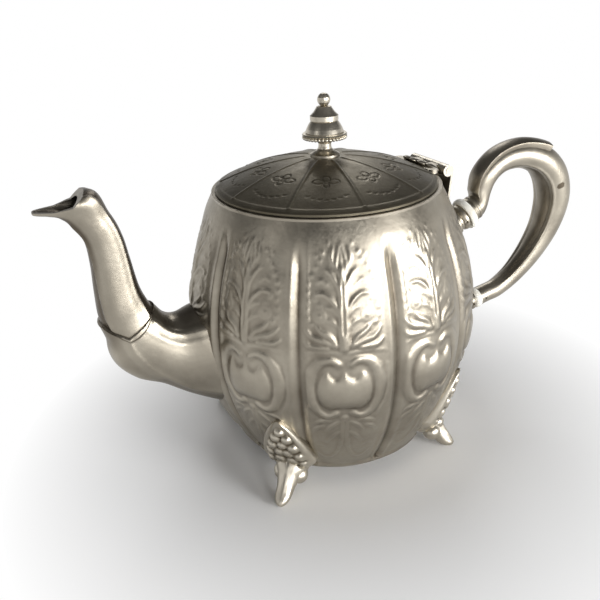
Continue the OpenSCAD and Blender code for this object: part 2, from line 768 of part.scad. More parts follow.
module mouth_cutter() {
    back = mouth_corner + 4 * (mouth_back - mouth_corner);
    translate([0, 30, 0]) rotate([90, 0, 0]) linear_extrude(60) polygon([
        for (p = [mouth_corner, back, [back[0], 200], [80, 200], [80, mouth_tip[1]], mouth_tip])
            [-(out_r + p[0]), p[1]]
    ]);
}

module spout_neck() color(pewter) stood() difference() {
    loft([for (row = slice(spout_route, seam_at, len(spout_route) - 1)) spout_ring(row, 0)]);
    loft([for (row = slice(spout_route, seam_at - 1, len(spout_route) - spout_steps))
        spout_ring(row, -spout_wall)]);
    mouth_cutter();
}

// ---- feet ----

// Half width of the foot's leaf at a share of its height: pointed on top, full below.
function leaf_width(t) = leaf_half * (t > 0.25 ? pow((1 - t) / 0.75, 0.7) : 0.6 + 0.4 * sin(360 * t));
leaf_rows = 7;
leaf_cols = 4;

module foot(angle, toe_out) color(bright) stood() rotate(angle) difference() {
    union() {
        loft([for (i = [0 : leaf_rows]) let(
            t = min(i / leaf_rows, 0.97), z = 2 + (leaf_top - 2) * t, half = leaf_width(t),
            thick = leaf_proud * (1 - 0.5 * t)
        ) concat(
            [for (j = [-leaf_cols : leaf_cols]) let(a = half * j / leaf_cols, q = barrel_r(z)
                + thick * sqrt(max(1 - pow(j / leaf_cols, 2), 0.04))) [q * cos(a), q * sin(a), z]],
            [for (j = [leaf_cols : -1 : -leaf_cols]) let(a = half * j / leaf_cols, q = barrel_r(z) - 3)
                [q * cos(a), q * sin(a), z]]
        )]);
        toe(toe_out);
    }
    rotate(-angle) body_core();
}

// Toe: from under the body's corner, out and down to a rounded end that stands on the table.
module toe(toe_out) intersection() {
    union() {
        hull() {
            translate([bottom_r - 3, 0, 0]) sphere(r = 3, $fn = 20);
            translate([bottom_r + 4, -3, 3.5]) sphere(r = 4.6, $fn = 20);
            translate([bottom_r + 4, 3, 3.5]) sphere(r = 4.6, $fn = 20);
            translate([toe_out - 7, 0, -0.5]) sphere(r = 4.7, $fn = 20);
        }
        hull() {
            translate([toe_out - 7, 0, -0.5]) sphere(r = 4.7, $fn = 20);
            translate([toe_out - 0.5, 0, toe_r - 0.3 - stand_h]) sphere(r = toe_r, $fn = 24);
        }
    }
    translate([0, -clear, -stand_h]) cube([100, 2 * clear, 60]);
}

module foot_spout_left() foot(180 + foot_angle, spout_toe_out);
module foot_spout_right() foot(180 - foot_angle, spout_toe_out);
module foot_handle_left() foot(-foot_angle, handle_toe_out);
module foot_handle_right() foot(foot_angle, handle_toe_out);

body_shell();
bottom_plate();
mouth_ring();
spout_base();
spout_neck();
lid_dome();
lid_flange();
finial_foot();
finial_disc();
finial_cap();
finial_stud();
finial_washer();
finial_nut();
hinge_plate();
hinge_leaf();
hinge_pin();
upper_socket();
upper_insulator();
handle_collar();
lower_socket();
lower_insulator();
lower_collar();
insulator_rivets();
handle_left();
handle_right();
thumb_strip();
foot_spout_left();
foot_spout_right();
foot_handle_left();
foot_handle_right();
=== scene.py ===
"""The looks of a pewter teapot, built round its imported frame.

Lengths in the tables are millimetres in the pot's own space: the origin is on the pot's axis at
the bottom of its body, +Z is up and the spout points towards -X. placed() turns them into metres
in the frame. Settings in the panel are metres, as Blender shows them.
"""

import json
import math

import bpy
import numpy as np
from mathutils import Matrix, Vector


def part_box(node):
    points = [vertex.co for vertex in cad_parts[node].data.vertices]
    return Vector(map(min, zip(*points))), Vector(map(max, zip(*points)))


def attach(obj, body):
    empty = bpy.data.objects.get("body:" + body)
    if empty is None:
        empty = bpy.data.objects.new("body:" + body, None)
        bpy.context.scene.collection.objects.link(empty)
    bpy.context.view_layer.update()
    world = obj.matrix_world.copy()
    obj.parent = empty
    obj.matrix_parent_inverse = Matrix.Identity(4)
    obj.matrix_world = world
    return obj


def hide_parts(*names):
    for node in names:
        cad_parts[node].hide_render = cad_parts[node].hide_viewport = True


bl_info = {
    "name": "Pewter Teapot",
    "version": (1, 0, 0),
    "blender": (4, 5, 0),
    "location": "View3D > Sidebar > Teapot",
    "description": "Builds the surfaces, the ornament and the stage of a lobed pewter teapot",
    "category": "Object",
}

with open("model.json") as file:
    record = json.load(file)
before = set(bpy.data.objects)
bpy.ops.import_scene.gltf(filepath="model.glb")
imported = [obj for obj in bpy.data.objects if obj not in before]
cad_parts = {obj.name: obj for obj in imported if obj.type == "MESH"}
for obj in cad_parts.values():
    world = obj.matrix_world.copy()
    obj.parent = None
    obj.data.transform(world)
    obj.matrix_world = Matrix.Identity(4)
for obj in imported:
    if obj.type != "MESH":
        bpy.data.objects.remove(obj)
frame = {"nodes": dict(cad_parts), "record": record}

MM = 0.001
POT = "pot"
LID = "lid"

# ---- the frame's driving dimensions, millimetres ----

BODY_R = 69.2
MOUTH_R = 52.6
BOTTOM_R = 51.4
BODY_H = 124.0
BELLY_Z = 64.0
CORNER_R = 4.0
WALL = 1.2
FLANGE_INNER_R = 40.0
LOBES = 10
LOBE_ANGLE = 2 * math.pi / LOBES
GROOVE_D = 2.4
GROOVE_END = 5.0
GROOVE_FADE = 14.0
OUT_R = BODY_R - GROOVE_D / 2
BORDER_H = 0.85
BORDER_IN = 3.5
BORDER_W = 1.8
VALLEY_H = 0.35
VALLEY_W = 1.0
STRAINER_PITCH = 6.0
STRAINER_R = 1.8
STRAINER_OVAL = (9, 13)

LID_R = 50.8
LID_RISE = 11.7
LID_WALL = 1.2
RIM_Z = BODY_H + 1.3
RIM_T = 1.0
DOME_R = (LID_R**2 + LID_RISE**2) / (2 * LID_RISE)
DOME_Z = RIM_Z + RIM_T + LID_RISE - DOME_R
LID_HOLE_R = 1.5

# ---- the ornament of one lobe: mirrored lines of (sideways, height) points ----
# Each entry: half widths at its start, middle and end, height, points.

TREE = [
    ((0.8, 0.8, 0.4), 1.0, [(1.2, 80), (1.1, 85), (0.9, 92), (0.8, 101), (0.3, 108)]),
    ((0.3, 0.5, 0.2), 0.6, [(0.3, 104), (2.2, 108), (1.8, 112), (0.2, 117)]),
    ((0.25, 0.35, 0.2), 0.45, [(0, 106), (0, 110), (0, 114)]),
    ((0.3, 0.9, 0.2), 0.6, [(3.6, 109), (4.4, 112), (3.6, 115.2)]),
    ((0.5, 0.7, 0.2), 0.7, [(0.8, 97), (2.0, 101.6), (4.4, 105.6), (6.6, 107.2)]),
    ((0.5, 0.8, 0.3), 0.8, [(1.0, 86), (1.8, 91), (4.2, 95.6), (8.0, 98.2), (11.4, 97.8)]),
    ((0.3, 0.4, 0.3), 0.5, [(11.4, 97.8), (12.2, 96.2), (10.8, 95.6)]),
    ((0.3, 0.7, 0.2), 0.5, [(2.0, 89.6), (4.6, 92.6), (7.4, 93.4)]),
    ((0.3, 0.7, 0.2), 0.5, [(1.8, 84.6), (4.2, 87.4), (7.0, 88.2)]),
    ((0.3, 0.45, 0.2), 0.4, [(8.6, 92.4), (10.0, 94.2), (11.4, 91.8)]),
    ((0.3, 0.5, 0.2), 0.5, [(6.4, 101.6), (8.8, 103.4), (10.6, 102.2)]),
]
KNOT = [
    ((1.9, 2.3, 1.9), 1.0, [(0, 81.0), (0, 78.8), (0, 76.6)]),
]
PALMETTE = [
    ((0.6, 1.3, 0.2), 0.8, [(3.0, 77.8), (5.4, 81.2), (9.0, 83.4), (11.2, 86.0)]),
    ((0.6, 1.5, 0.2), 0.85, [(3.4, 77.0), (7.8, 79.4), (12.2, 80.6), (15.6, 83.8)]),
    ((0.6, 1.3, 0.2), 0.8, [(6.4, 76.4), (10.2, 76.8), (13.6, 77.0), (16.6, 79.0)]),
    ((0.3, 0.4, 0.2), 0.5, [(1.0, 74.4), (6.0, 74.6), (11.8, 74.6), (17.4, 73.2)]),
]
SCROLLS = [
    ((1.2, 1.9, 2.4), 0.9, [(2.4, 69.6), (5.8, 71.2), (10.2, 70.0), (13.5, 65.8)]),
    ((2.4, 2.7, 2.2), 0.9, [(13.5, 65.8), (15.1, 59.0), (14.3, 51.2)]),
    ((2.2, 1.6, 1.0), 0.9, [(14.3, 51.2), (11.5, 45.0), (7.4, 42.6), (3.8, 44.2)]),
    ((0.3, 0.4, 0.2), 0.5, [(17.8, 67.6), (18.6, 58.6), (17.9, 48.6), (14.7, 41.2)]),
]
SPRAY = [
    ((0.4, 0.6, 0.3), 0.6, [(0.9, 39.8), (1.0, 31.0), (0.9, 22.2)]),
    ((0.3, 0.9, 0.2), 0.6, [(2.4, 39.2), (5.6, 36.8), (8.6, 32.8)]),
    ((0.3, 0.9, 0.2), 0.65, [(6.0, 39.8), (10.0, 39.4), (13.6, 37.4)]),
    ((0.3, 0.8, 0.2), 0.55, [(2.2, 32.8), (5.2, 29.8), (8.4, 25.2)]),
    ((0.3, 0.8, 0.2), 0.55, [(9.4, 36.0), (12.6, 34.4), (15.4, 31.2)]),
    ((0.4, 0.6, 0.3), 0.6, [(1.8, 27.2), (2.8, 18.8), (6.2, 13.0), (10.6, 12.2), (14.0, 16.2)]),
    ((0.3, 0.5, 0.2), 0.5, [(9.0, 21.4), (12.0, 22.8), (14.6, 21.4)]),
]
BEAD_DOTS = [(0, 41.6, 1.7), (2.6, 69.2, 1.6), (3.8, 44.4, 1.6), (9.8, 89.6, 1.3), (13.2, 86.2, 0.9),
             (5.6, 116.8, 0.6), (8.2, 113.4, 0.8), (11.2, 112.4, 0.6)]
RING_AT = (9.8, 89.6, 2.2)
OUTLINE = [(9.4, 110.6), (11.8, 107.4), (13.6, 103.4), (14.8, 99.6), (14.4, 94.8), (15.2, 90.6),
           (14.0, 87.0)]
OUTLINE_PITCH = 3.4
HEART = [(0, 66.1), (1.5, 63.6), (4.1, 62.4), (6.0, 64.2), (7.4, 65.8), (9.6, 63.2), (11.3, 58.4),
         (11.3, 53.4), (9.8, 49.2), (6.6, 47.0), (3.2, 47.6), (0, 47.4)]
HEART_H = 1.5
ORNAMENT_OFF = 2.3

LID_PHASE = -6.6
LID_FLOWER_R = 31.0
LID_FLOWER = [
    ((0.3, 0.3, 0.3), 0.4, [(0.5, 0), (2.4, -1.7), (4.8, -1.5), (5.6, 0), (4.2, 1.2), (2.2, 1.2),
                            (0.5, 0)]),
    ((0.3, 0.3, 0.3), 0.4, [(0, -0.6), (1.5, -2.0), (1.3, -4.0), (0, -4.8)]),
    ((0.3, 0.3, 0.3), 0.4, [(0, 0.6), (1.2, 1.8), (0.9, 3.2), (0, 3.9)]),
]
LID_DASH = (0.25, 0.4, 0.25)
LID_DASH_H = 0.3
LID_RIB_H = 0.4
LID_RIB_W = 0.7
LID_SEAT_W = 1.6
LID_DASHES = [(-7.8, 9.9), (-5.4, 11.0), (-2.8, 11.8), (0, 12.1), (2.8, 11.8), (5.4, 11.0), (7.8, 9.9)]

# ---- spout: [out from the mean barrel, height, tilt, half depth, half width] ----

SPOUT_ROWS = [
    [-22, 48, -6, 31, 22.5],
    [-12, 51.1, -6, 28, 19.9],
    [-1.8, 53.2, -6, 24.9, 17.4],
    [8, 55.6, -1, 20.1, 14.9],
    [16, 60.4, 9, 16.9, 13.8],
    [23.7, 66.9, 25, 16.3, 13.5],
    [28.1, 72.4, 40, 14.9, 12.8],
    [30.2, 80.1, 51, 12.7, 11.5],
    [32.1, 87.7, 58, 11.9, 10.9],
    [32.5, 96.4, 69, 10.3, 9.8],
    [32.6, 106, 81, 9, 8.8],
    [33.3, 115.5, 86, 8.4, 8.2],
    [35.5, 123, 73, 8.1, 8.1],
    [40.3, 130.5, 58, 8, 8],
    [46, 132.2, 38, 5, 7.2],
    [51.5, 132.1, 25, 2.9, 5.5],
    [55.6, 131.9, 15, 1.9, 3.9],
    [57.6, 131.8, 14, 1.3, 2.6],
    [58.3, 131.8, 14, 0.6, 1.3],
    [58.6, 131.8, 14, 0.3, 0.6],
]
# Angle from the upper side, and the share of the route at which the seam lies there.
SEAM = [(0, 4.45), (17, 4.65), (46, 5.1), (74, 5.38), (102, 5.58), (125, 6.2), (150, 6.8), (180, 6.9)]
BASE_RIDGES = [
    (0.55, 4, [(0.5, 46), (2.5, 45), (4.4, 47)]),
    (0.3, 4, [(0.5, 58), (1.3, 58), (3.3, 62), (4.9, 66)]),
    (0.6, 4, [(0.6, 122), (2.1, 127), (3.3, 121), (4.4, 109), (5.3, 104)]),
    (0.35, 4, [(3.4, 128), (4.6, 117), (5.5, 116)]),
]
BASE_FACETS = [(0.8, -1, [(0.5, 44), (2.5, 43), (4.6, 45), (6, 45)])]
NECK_RIDGES = [
    (0.5, 5, [(4.6, 44), (7.6, 47), (9.5, 47), (11.7, 45), (12.4, 42)]),
    (0.5, 5, [(6.6, 128), (8.5, 137), (9.8, 144), (11.4, 150)]),
]
NECK_FACETS = [
    (0.8, -1, [(4.4, 44), (7.6, 47), (9.5, 47), (12.4, 42)]),
    (0.6, 1, [(5.4, 128), (6.6, 128), (8.5, 137), (9.8, 144), (11.4, 150)]),
]
BASE_KEEL = (3.0, 4.0, 5.4, 6.0, 1.3)
NECK_KEEL = (4.0, 5.0, 5.8, 7.0, 1.0)
# Strap below the seam: angle of its widest place and its spread, its widths there and elsewhere.
STRAP = (75, 30, 0.24, 0.05)
STRAP_H = 0.35
STRAP_EDGE = 0.05
SPOUT_PROUD = 0.55
SPOUT_WALL = 1.3
BASE_RINGS = 110
NECK_RINGS = 170
NECK_TUCK = 0.12
HOLLOW_TUCK = 0.2
SEAM_DARK = 0.04
# Painted shade, as if turned from the light, of the outer side and its two angles, and of the upper
# side and its two angles.
BASE_SIDE_SHADE = (0.35, 108, 140, 0.1, 38, 50)
NECK_SIDE_SHADE = (0.55, 122, 142, 0.4, 40, 52)
SPOUT_SQUARE = 2.2
MOUTH_BACK = (37.3, 138.3)
MOUTH_PEAK = 3.0
# Shares of the route between which the peak behind the mouth rises, stays and falls.
PEAK_SPAN = (11.2, 12.5, 12.8, 13.4)
MOUTH_CORNER = (43, 133.1)
MOUTH_LIP = (50, 131.7)
MOUTH_TIP = (60, 131.8)

# ---- handle: [out from the mean barrel, height, direction, radius] ----

UPPER_AT = (11.7, 97)
UPPER_TILT = 28
LOWER_AT = (22.2, 46)
LOWER_TILT = 12
COLLAR_END = 7.4
HANDLE_ROWS = [
    [19.9, 108, 73, 5.6],
    [22.5, 115.2, 68, 6.1],
    [28.3, 120.8, 41, 6.3],
    [36.1, 123.6, 9, 6.6],
    [45.6, 123.4, -14, 7.3],
    [56.4, 119.3, -34, 8.5],
    [64.5, 111.5, -57, 9.2],
    [68.6, 101.5, -80, 9.3],
    [68.8, 91.2, -98, 8.8],
    [65.3, 79.2, -116, 7.8],
    [57.5, 66.6, -129, 6.7],
    [47.3, 56, -141, 5.7],
    [36.6, 49.4, -156, 5.3],
]
RIDGE_SPAN = (4, 6, 11, 13.5)
RIDGE_AT = 126
RIDGE_H = 0.5
RIDGE_W = 4.5
FACET_D = 0.9
FACET_SPAN = (130, 142)
STRIP_HALF = 52
STRIP_H = 2.0
STRIP_SUNK = 0.7
STRIP_FIRST = 0.0
STRIP_LAST = 5.85
CHIP_AT = (7.5, 261)
CHIP_SIZE = (0.17, 16)  # share of the route and degrees, as in CHIP_AT

# ---- feet ----

FOOT_ANGLE = 44
SPOUT_TOE_OUT = 66.4
HANDLE_TOE_OUT = 63.0
LEAF_TOP = 37.0
LEAF_HALF = 14.0
LEAF_PROUD = 3.0
LEAF_SWELL = 2.2


# ---- small curve and mesh tools ----


def ease(a, b, x):
    """Smooth step from 0 at a to 1 at b: 3 t squared minus 2 t cubed of the share t between them."""
    t = np.clip((x - a) / (b - a), 0, 1)
    return t * t * (3 - 2 * t)


def bell(x, width):
    """Bell curve of height 1: e to the minus (x / width) squared."""
    return np.exp(-((x / width) ** 2))


def circle_angles(count):
    """Even angles round a full turn."""
    return np.linspace(0, 2 * math.pi, count, endpoint=False)


def through(rows, shares):
    """Catmull-Rom curve through rows at the given shares, counted in rows from the second one.

    The first and the last row only steer its ends.
    """
    rows = np.asarray(rows, float)
    shares = np.clip(np.asarray(shares, float), 0, len(rows) - 3 - 1e-9)
    k = shares.astype(int)
    t = (shares - k)[..., None]
    a, b, c, d = rows[k], rows[k + 1], rows[k + 2], rows[k + 3]
    return 0.5 * (2 * b + (c - a) * t + (2 * a - 5 * b + 4 * c - d) * t**2
                  + (3 * b - a - 3 * c + d) * t**3)


def smooth_line(points, steps=6):
    """The same curve through every point of a short line, its ends repeated."""
    points = np.asarray(points, float)
    rows = np.vstack([2 * points[0] - points[1], points, 2 * points[-1] - points[-2]])
    return through(rows, np.linspace(0, len(points) - 1, steps * (len(points) - 1) + 1))


def pot_origin():
    """Where the pot's own origin lies in the frame, in metres."""
    low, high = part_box("bottom_plate")
    return np.array([(low.x + high.x) / 2, 0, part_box("body_shell")[0].z])


def placed(points):
    """Points in the pot's millimetres as metres in the frame."""
    return np.asarray(points, float) * MM + pot_origin()


def round_axis(radii, angles, heights):
    """Points at radii and angles round the pot's axis."""
    return np.stack([radii * np.cos(angles), radii * np.sin(angles), heights], -1)


def grid_faces(rows, columns, loop_rows, loop_columns):
    """Quads of a grid of points, wrapped in either direction where asked."""
    i = np.arange(rows if loop_rows else rows - 1)[:, None]
    j = np.arange(columns if loop_columns else columns - 1)[None, :]
    i2 = (i + 1) % rows
    j2 = (j + 1) % columns
    quads = np.stack(np.broadcast_arrays(
        i * columns + j, i * columns + j2, i2 * columns + j2, i2 * columns + j), -1)
    return quads.reshape(-1, 4).tolist()


def new_piece(name, points, faces, painted_shade_and_wear=None, sharp=50):
    """Mesh object from points in the pot's millimetres, smooth but for edges over sharp degrees."""
    mesh = bpy.data.meshes.new(name)
    mesh.from_pydata(placed(points).tolist(), [], faces)
    mesh.update()
    # Per-point darkening of the metal's colour: mostly painted shade in recesses, on turned-away sides
    # and inside, less of it on ridges as a painted highlight, with a real chip and dark seam lines.
    if painted_shade_and_wear is not None:
        layer = mesh.attributes.new("painted_shade_and_wear", "FLOAT", "POINT")
        layer.data.foreach_set("value", np.asarray(painted_shade_and_wear, np.float32).ravel())
    mesh.shade_smooth()
    mesh.set_sharp_from_angle(angle=math.radians(sharp))
    piece = bpy.data.objects.new(name, mesh)
    bpy.context.scene.collection.objects.link(piece)
    return piece


def finished(piece, body, slot, *nodes):
    """Gives a piece its material and its body, and hides the nodes that it stands for."""
    piece.data.materials.clear()
    piece.data.materials.append(bpy.data.materials[slot])
    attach(piece, body)
    if nodes:
        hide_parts(*nodes)
    return piece


def carved(piece, cutters, sharp=40):
    """Cuts the cutters out of a closed piece, keeps the result as its mesh and removes them."""
    for cutter in cutters:
        cut = piece.modifiers.new("cut", "BOOLEAN")
        cut.operation = "DIFFERENCE"
        cut.solver = "EXACT"
        cut.object = cutter
    bpy.context.view_layer.update()
    seen = piece.evaluated_get(bpy.context.evaluated_depsgraph_get())
    mesh = bpy.data.meshes.new_from_object(seen)
    piece.modifiers.clear()
    piece.data = mesh
    for cutter in cutters:
        bpy.data.objects.remove(cutter)
    mesh.shade_smooth()
    mesh.set_sharp_from_angle(angle=math.radians(sharp))
    return piece


def lofts(name, parts, painted_shade_and_wear=None, sharp=50):
    """Closed solids through rings of points, with a flat cap on each end, as one mesh."""
    faces = []
    first = 0
    for rings in parts:
        rows, columns = rings.shape[:2]
        last = (rows - 1) * columns
        solid = grid_faces(rows, columns, False, True)
        solid += [list(range(columns))[::-1], list(range(last, last + columns))]
        faces += [[first + i for i in face] for face in solid]
        first += rows * columns
    points = np.concatenate([rings.reshape(-1, 3) for rings in parts])
    return new_piece(name, points, faces, painted_shade_and_wear, sharp)


def loft(name, rings, painted_shade_and_wear=None, sharp=50):
    """One such solid."""
    return lofts(name, [rings], painted_shade_and_wear, sharp)


# ---- relief: heights drawn with lines and dots ----


def from_segment(x, z, a, b):
    """Offsets of points, sideways and upright, from their nearest place between a and b."""
    run = b - a
    t = np.clip(((x - a[0]) * run[0] + (z - a[1]) * run[1]) / (run @ run + 1e-9), 0, 1)
    return x - a[0] - t * run[0], z - a[1] - t * run[1]


def ridge(x, z, entry, mirrored=True):
    """Rounded ridge along a line: its height times the root of one minus (distance / width) squared."""
    halves, height, points = entry
    line = smooth_line(points)
    widths = np.interp(np.linspace(0, 2, len(line)), [0, 1, 2], halves)
    side = np.abs(x) if mirrored else x
    best = np.zeros_like(x)
    for (a, b), width in zip(zip(line[:-1], line[1:]), widths):
        across, along_z = from_segment(side, z, a, b)
        away = (across**2 + along_z**2) / width**2
        best = np.maximum(best, height * np.sqrt(np.clip(1 - away, 0, 1)))
    return best


def dot(x, z, at, height=0.6):
    """Round bead of radius at[2] at (at[0], at[1]), mirrored."""
    away = ((np.abs(x) - at[0]) ** 2 + (z - at[1]) ** 2) / at[2] ** 2
    return height * np.sqrt(np.clip(1 - away, 0, 1))


def inside_distance(x, z, outline):
    """Distance to a mirrored closed outline, above zero inside it and below zero outside."""
    side = np.abs(x)
    line = smooth_line(outline, 4)
    near = np.full_like(x, 1e9)
    crossings = np.zeros(x.shape, int)
    for a, b in zip(line[:-1], line[1:]):
        run = b - a
        near = np.minimum(near, np.hypot(*from_segment(side, z, a, b)))
        between = (a[1] > z) != (b[1] > z)
        at = a[0] + (z - a[1]) / (run[1] if abs(run[1]) > 1e-9 else 1e-9) * run[0]
        crossings += between & (side < at)
    return np.where(crossings % 2 == 1, near, -near)


def blurred(values, reach):
    """Values averaged with a bell curve over reach cells each way."""
    span = np.arange(-3 * reach, 3 * reach + 1)
    weights = np.exp(-0.5 * (span / reach) ** 2)
    weights /= weights.sum()
    padded = np.pad(values, len(span) // 2, mode="edge")
    padded = np.apply_along_axis(np.convolve, 0, padded, weights, "valid")
    return np.apply_along_axis(np.convolve, 1, padded, weights, "valid")


def lobe_relief(x, z):
    """Ornament of one lobe: tree, knot, palmette, scrolls, heart and spray."""
    height = np.zeros_like(x)
    for entry in TREE + KNOT + PALMETTE + SCROLLS + SPRAY:
        height = np.maximum(height, ridge(x, z, entry))
    for at in BEAD_DOTS:
        height = np.maximum(height, dot(x, z, at))
    line = smooth_line(OUTLINE, 12)
    lengths = np.concatenate([[0], np.cumsum(np.hypot(*np.diff(line, axis=0).T))])
    for s in np.arange(0, lengths[-1], OUTLINE_PITCH):
        at = (np.interp(s, lengths, line[:, 0]), np.interp(s, lengths, line[:, 1]), 0.9)
        height = np.maximum(height, dot(x, z, at, 0.35))
    away = np.hypot(np.abs(x) - RING_AT[0], z - RING_AT[1])
    height = np.maximum(height, 0.4 * bell(away - RING_AT[2], 0.45))
    heart = inside_distance(x, z, HEART)
    share = np.clip(heart / 5.5, 0, 1)
    dome = HEART_H * np.sqrt(share * (2 - share))
    return np.where(heart > 0, dome, np.where(heart > -0.7, 0.0, height))


# ---- body ----


def barrel_r(z):
    """Radius of the barrel: two parabolas that meet at its widest place."""
    above = BODY_R - (BODY_R - MOUTH_R) * ((z - BELLY_Z) / (BODY_H - BELLY_Z)) ** 2
    below = BODY_R - (BODY_R - BOTTOM_R) * ((BELLY_Z - z) / (BELLY_Z - CORNER_R)) ** 2
    return np.where(z > BELLY_Z, above, below)


def groove_share(z):
    """How far the grooves between the lobes are formed at a height."""
    return (1 - ease(BODY_H - GROOVE_END - GROOVE_FADE, BODY_H - GROOVE_END, z)) * ease(0, CORNER_R, z)


def groove(angle, z):
    """Depth of the grooves: a broad hollow with a narrow bottom, from powers of a sine."""
    s = np.abs(np.sin(LOBES * angle / 2))
    return GROOVE_D * (0.45 * s**2 + 0.55 * s**10) * groove_share(z)


def body_section(step):
    """Radii and heights up the outside of the body, over the rounded corner first."""
    corner = np.radians(np.arange(0, 90, 15))
    r = BOTTOM_R - CORNER_R + CORNER_R * np.sin(corner)
    z = CORNER_R - CORNER_R * np.cos(corner)
    heights = np.arange(CORNER_R, BODY_H + step / 2, step)
    heights[-1] = BODY_H
    return np.concatenate([r, barrel_r(heights)]), np.concatenate([z, heights])


def lobe_points(columns, step, relief_h):
    """Closed section of one lobe, swept from groove to groove: up its outside, down its inside."""
    r, z = body_section(step)
    angle = np.linspace(-LOBE_ANGLE / 2, LOBE_ANGLE / 2, columns)
    a, h = np.meshgrid(angle, z)
    x = a * OUT_R
    edge = LOBE_ANGLE / 2 * OUT_R - np.abs(x)
    fade = groove_share(h)
    drawn = lobe_relief(x + ORNAMENT_OFF, h) * ease(0, 3, edge - 1.8) * ease(3, 9, h)
    border = BORDER_H * bell(edge - BORDER_IN, BORDER_W) - VALLEY_H * bell(edge, VALLEY_W)
    soft = blurred(drawn, 1)
    relief = relief_h * soft + border * fade
    # Painted shade: darker in the hollows beside the ornament's raised lines, and along the bottom of
    # each groove.
    shade_and_wear = 1.5 * (blurred(soft, 2) - soft) + 0.5 * bell(edge, 1.2) * fade
    outer = r[:, None] - groove(a, h) + relief
    low = np.linspace(BODY_H, CORNER_R, 34)[:, None] + 0 * a[:1]
    inner = barrel_r(low) - WALL - groove(a[:1] + 0 * low, low)
    tips = np.radians([60, 30, 0])[:, None] + 0 * a[:1]
    turn = BOTTOM_R - CORNER_R + (CORNER_R - WALL) * np.sin(tips)
    turn_z = CORNER_R - (CORNER_R - WALL) * np.cos(tips)
    flange = FLANGE_INNER_R + 0 * a[:1]
    radii = np.vstack([flange, outer, inner, turn, flange])
    heights = np.vstack([0 * a[:1], h, low, turn_z, WALL + 0 * a[:1]])
    angles = np.broadcast_to(angle, radii.shape)
    painted_shade_and_wear = np.zeros_like(radii)
    painted_shade_and_wear[1:1 + len(shade_and_wear)] = shade_and_wear
    # The inside of the wall, its turn and the flange's top are painted darker, as shade inside the pot.
    painted_shade_and_wear[1 + len(shade_and_wear):] = 0.35
    return radii, angles, heights, painted_shade_and_wear


def strainer_cutters():
    """Short rods through the wall behind the spout, in staggered rows inside an upright oval."""
    turn = circle_angles(24)
    rods = []
    for row in range(-2, 3):
        for hole in range(-1, 2):
            y = (hole + (0 if row % 2 == 0 else 0.5)) * STRAINER_PITCH
            z = row * STRAINER_PITCH * math.sin(math.radians(60))
            if (y / STRAINER_OVAL[0]) ** 2 + (z / STRAINER_OVAL[1]) ** 2 >= 1:
                continue
            ring = np.stack([0 * turn, y + STRAINER_R * np.cos(turn), SPOUT_ROWS[2][1] + z
                             + STRAINER_R * np.sin(turn)], -1)
            ends = np.stack([ring + [-BODY_R - WALL, 0, 0], ring + [-BODY_R + 6, 0, 0]])
            rods.append(loft("rod", ends))
    return rods


def make_body(settings):
    """One mesh for each lobe, so that its ornament is fine and each mesh stays light."""
    radii, angles, heights, painted_shade_and_wear = lobe_points(settings.columns, settings.row_height / MM,
                                                  settings.relief)
    rows, columns = radii.shape
    faces = grid_faces(rows, columns, True, False)
    ends = [list(range(0, rows * columns, columns)),
            list(range(columns - 1, rows * columns, columns))[::-1]]
    for k in range(LOBES):
        points = round_axis(radii, angles + k * LOBE_ANGLE, heights)
        piece = new_piece(f"lobe_{k}", points.reshape(-1, 3), faces + ends, painted_shade_and_wear)
        if k == LOBES // 2:
            carved(piece, strainer_cutters(), 50)
        finished(piece, POT, "pewter", "body_shell")


# ---- lid ----


def make_lid(settings):
    """Dome of the lid: rings over a sphere with ribs and a flower in each segment, and its inside."""
    columns = settings.columns
    angle = circle_angles(columns)
    r = np.concatenate([[LID_HOLE_R, 4.0], np.arange(6.5, LID_R - 0.6, settings.row_height / MM),
                        [LID_R - 0.5, LID_R - 0.1, LID_R]])
    a, rr = np.meshgrid(angle, r)
    segment = (a - math.radians(LID_PHASE) + LOBE_ANGLE / 2) % LOBE_ANGLE - LOBE_ANGLE / 2
    x = segment * rr
    out = rr - LID_FLOWER_R
    drawn = np.zeros_like(x)
    for entry in LID_FLOWER:
        drawn = np.maximum(drawn, ridge(x, out, entry))
    for at in LID_DASHES:
        points = [(at[0] - 0.8, at[1] - 0.4), at, (at[0] + 0.8, at[1] - 0.3)]
        drawn = np.maximum(drawn, ridge(x, out, (LID_DASH, LID_DASH_H, points), False))
    rib_x = (LOBE_ANGLE / 2 - np.abs(segment)) * rr
    rib = LID_RIB_H * bell(rib_x, LID_RIB_W) * ease(7, 10, rr) * (1 - ease(LID_R - 2.4, LID_R - 1, rr))
    edge = ease(LID_R - 3.0, LID_R - 2.2, rr) * 0.25
    # Painted shade in the sunk drawing and a little over the whole dome, with the raised ribs left
    # light as a painted highlight.
    shade_and_wear = 0.25 * drawn - 0.8 * rib + 0.1
    drop = ease(LID_R - 0.6, LID_R, rr) * 0.35
    z = DOME_Z + np.sqrt(DOME_R**2 - rr**2) + rib + edge - drop - settings.relief * drawn
    below = np.array([LID_R, LID_R - LID_SEAT_W])[:, None] + 0 * a[:1]
    below_z = RIM_Z + 0 * below
    inner_r = np.linspace(LID_R - LID_SEAT_W, LID_HOLE_R, 14)[:, None] + 0 * a[:1]
    inner_z = np.maximum(DOME_Z + np.sqrt((DOME_R - LID_WALL) ** 2 - inner_r**2), RIM_Z + 0.02)
    radii = np.vstack([rr, below, inner_r])
    heights = np.vstack([z, below_z, inner_z])
    painted_shade_and_wear = np.zeros_like(radii)
    painted_shade_and_wear[:len(shade_and_wear)] = shade_and_wear
    angles = np.broadcast_to(angle, radii.shape)
    points = round_axis(radii, angles, heights)
    faces = [face[::-1] for face in grid_faces(*radii.shape, True, True)]
    piece = new_piece("lid_top", points.reshape(-1, 3), faces, painted_shade_and_wear)
    finished(piece, LID, "lid_pewter", "lid_dome")


# ---- spout ----


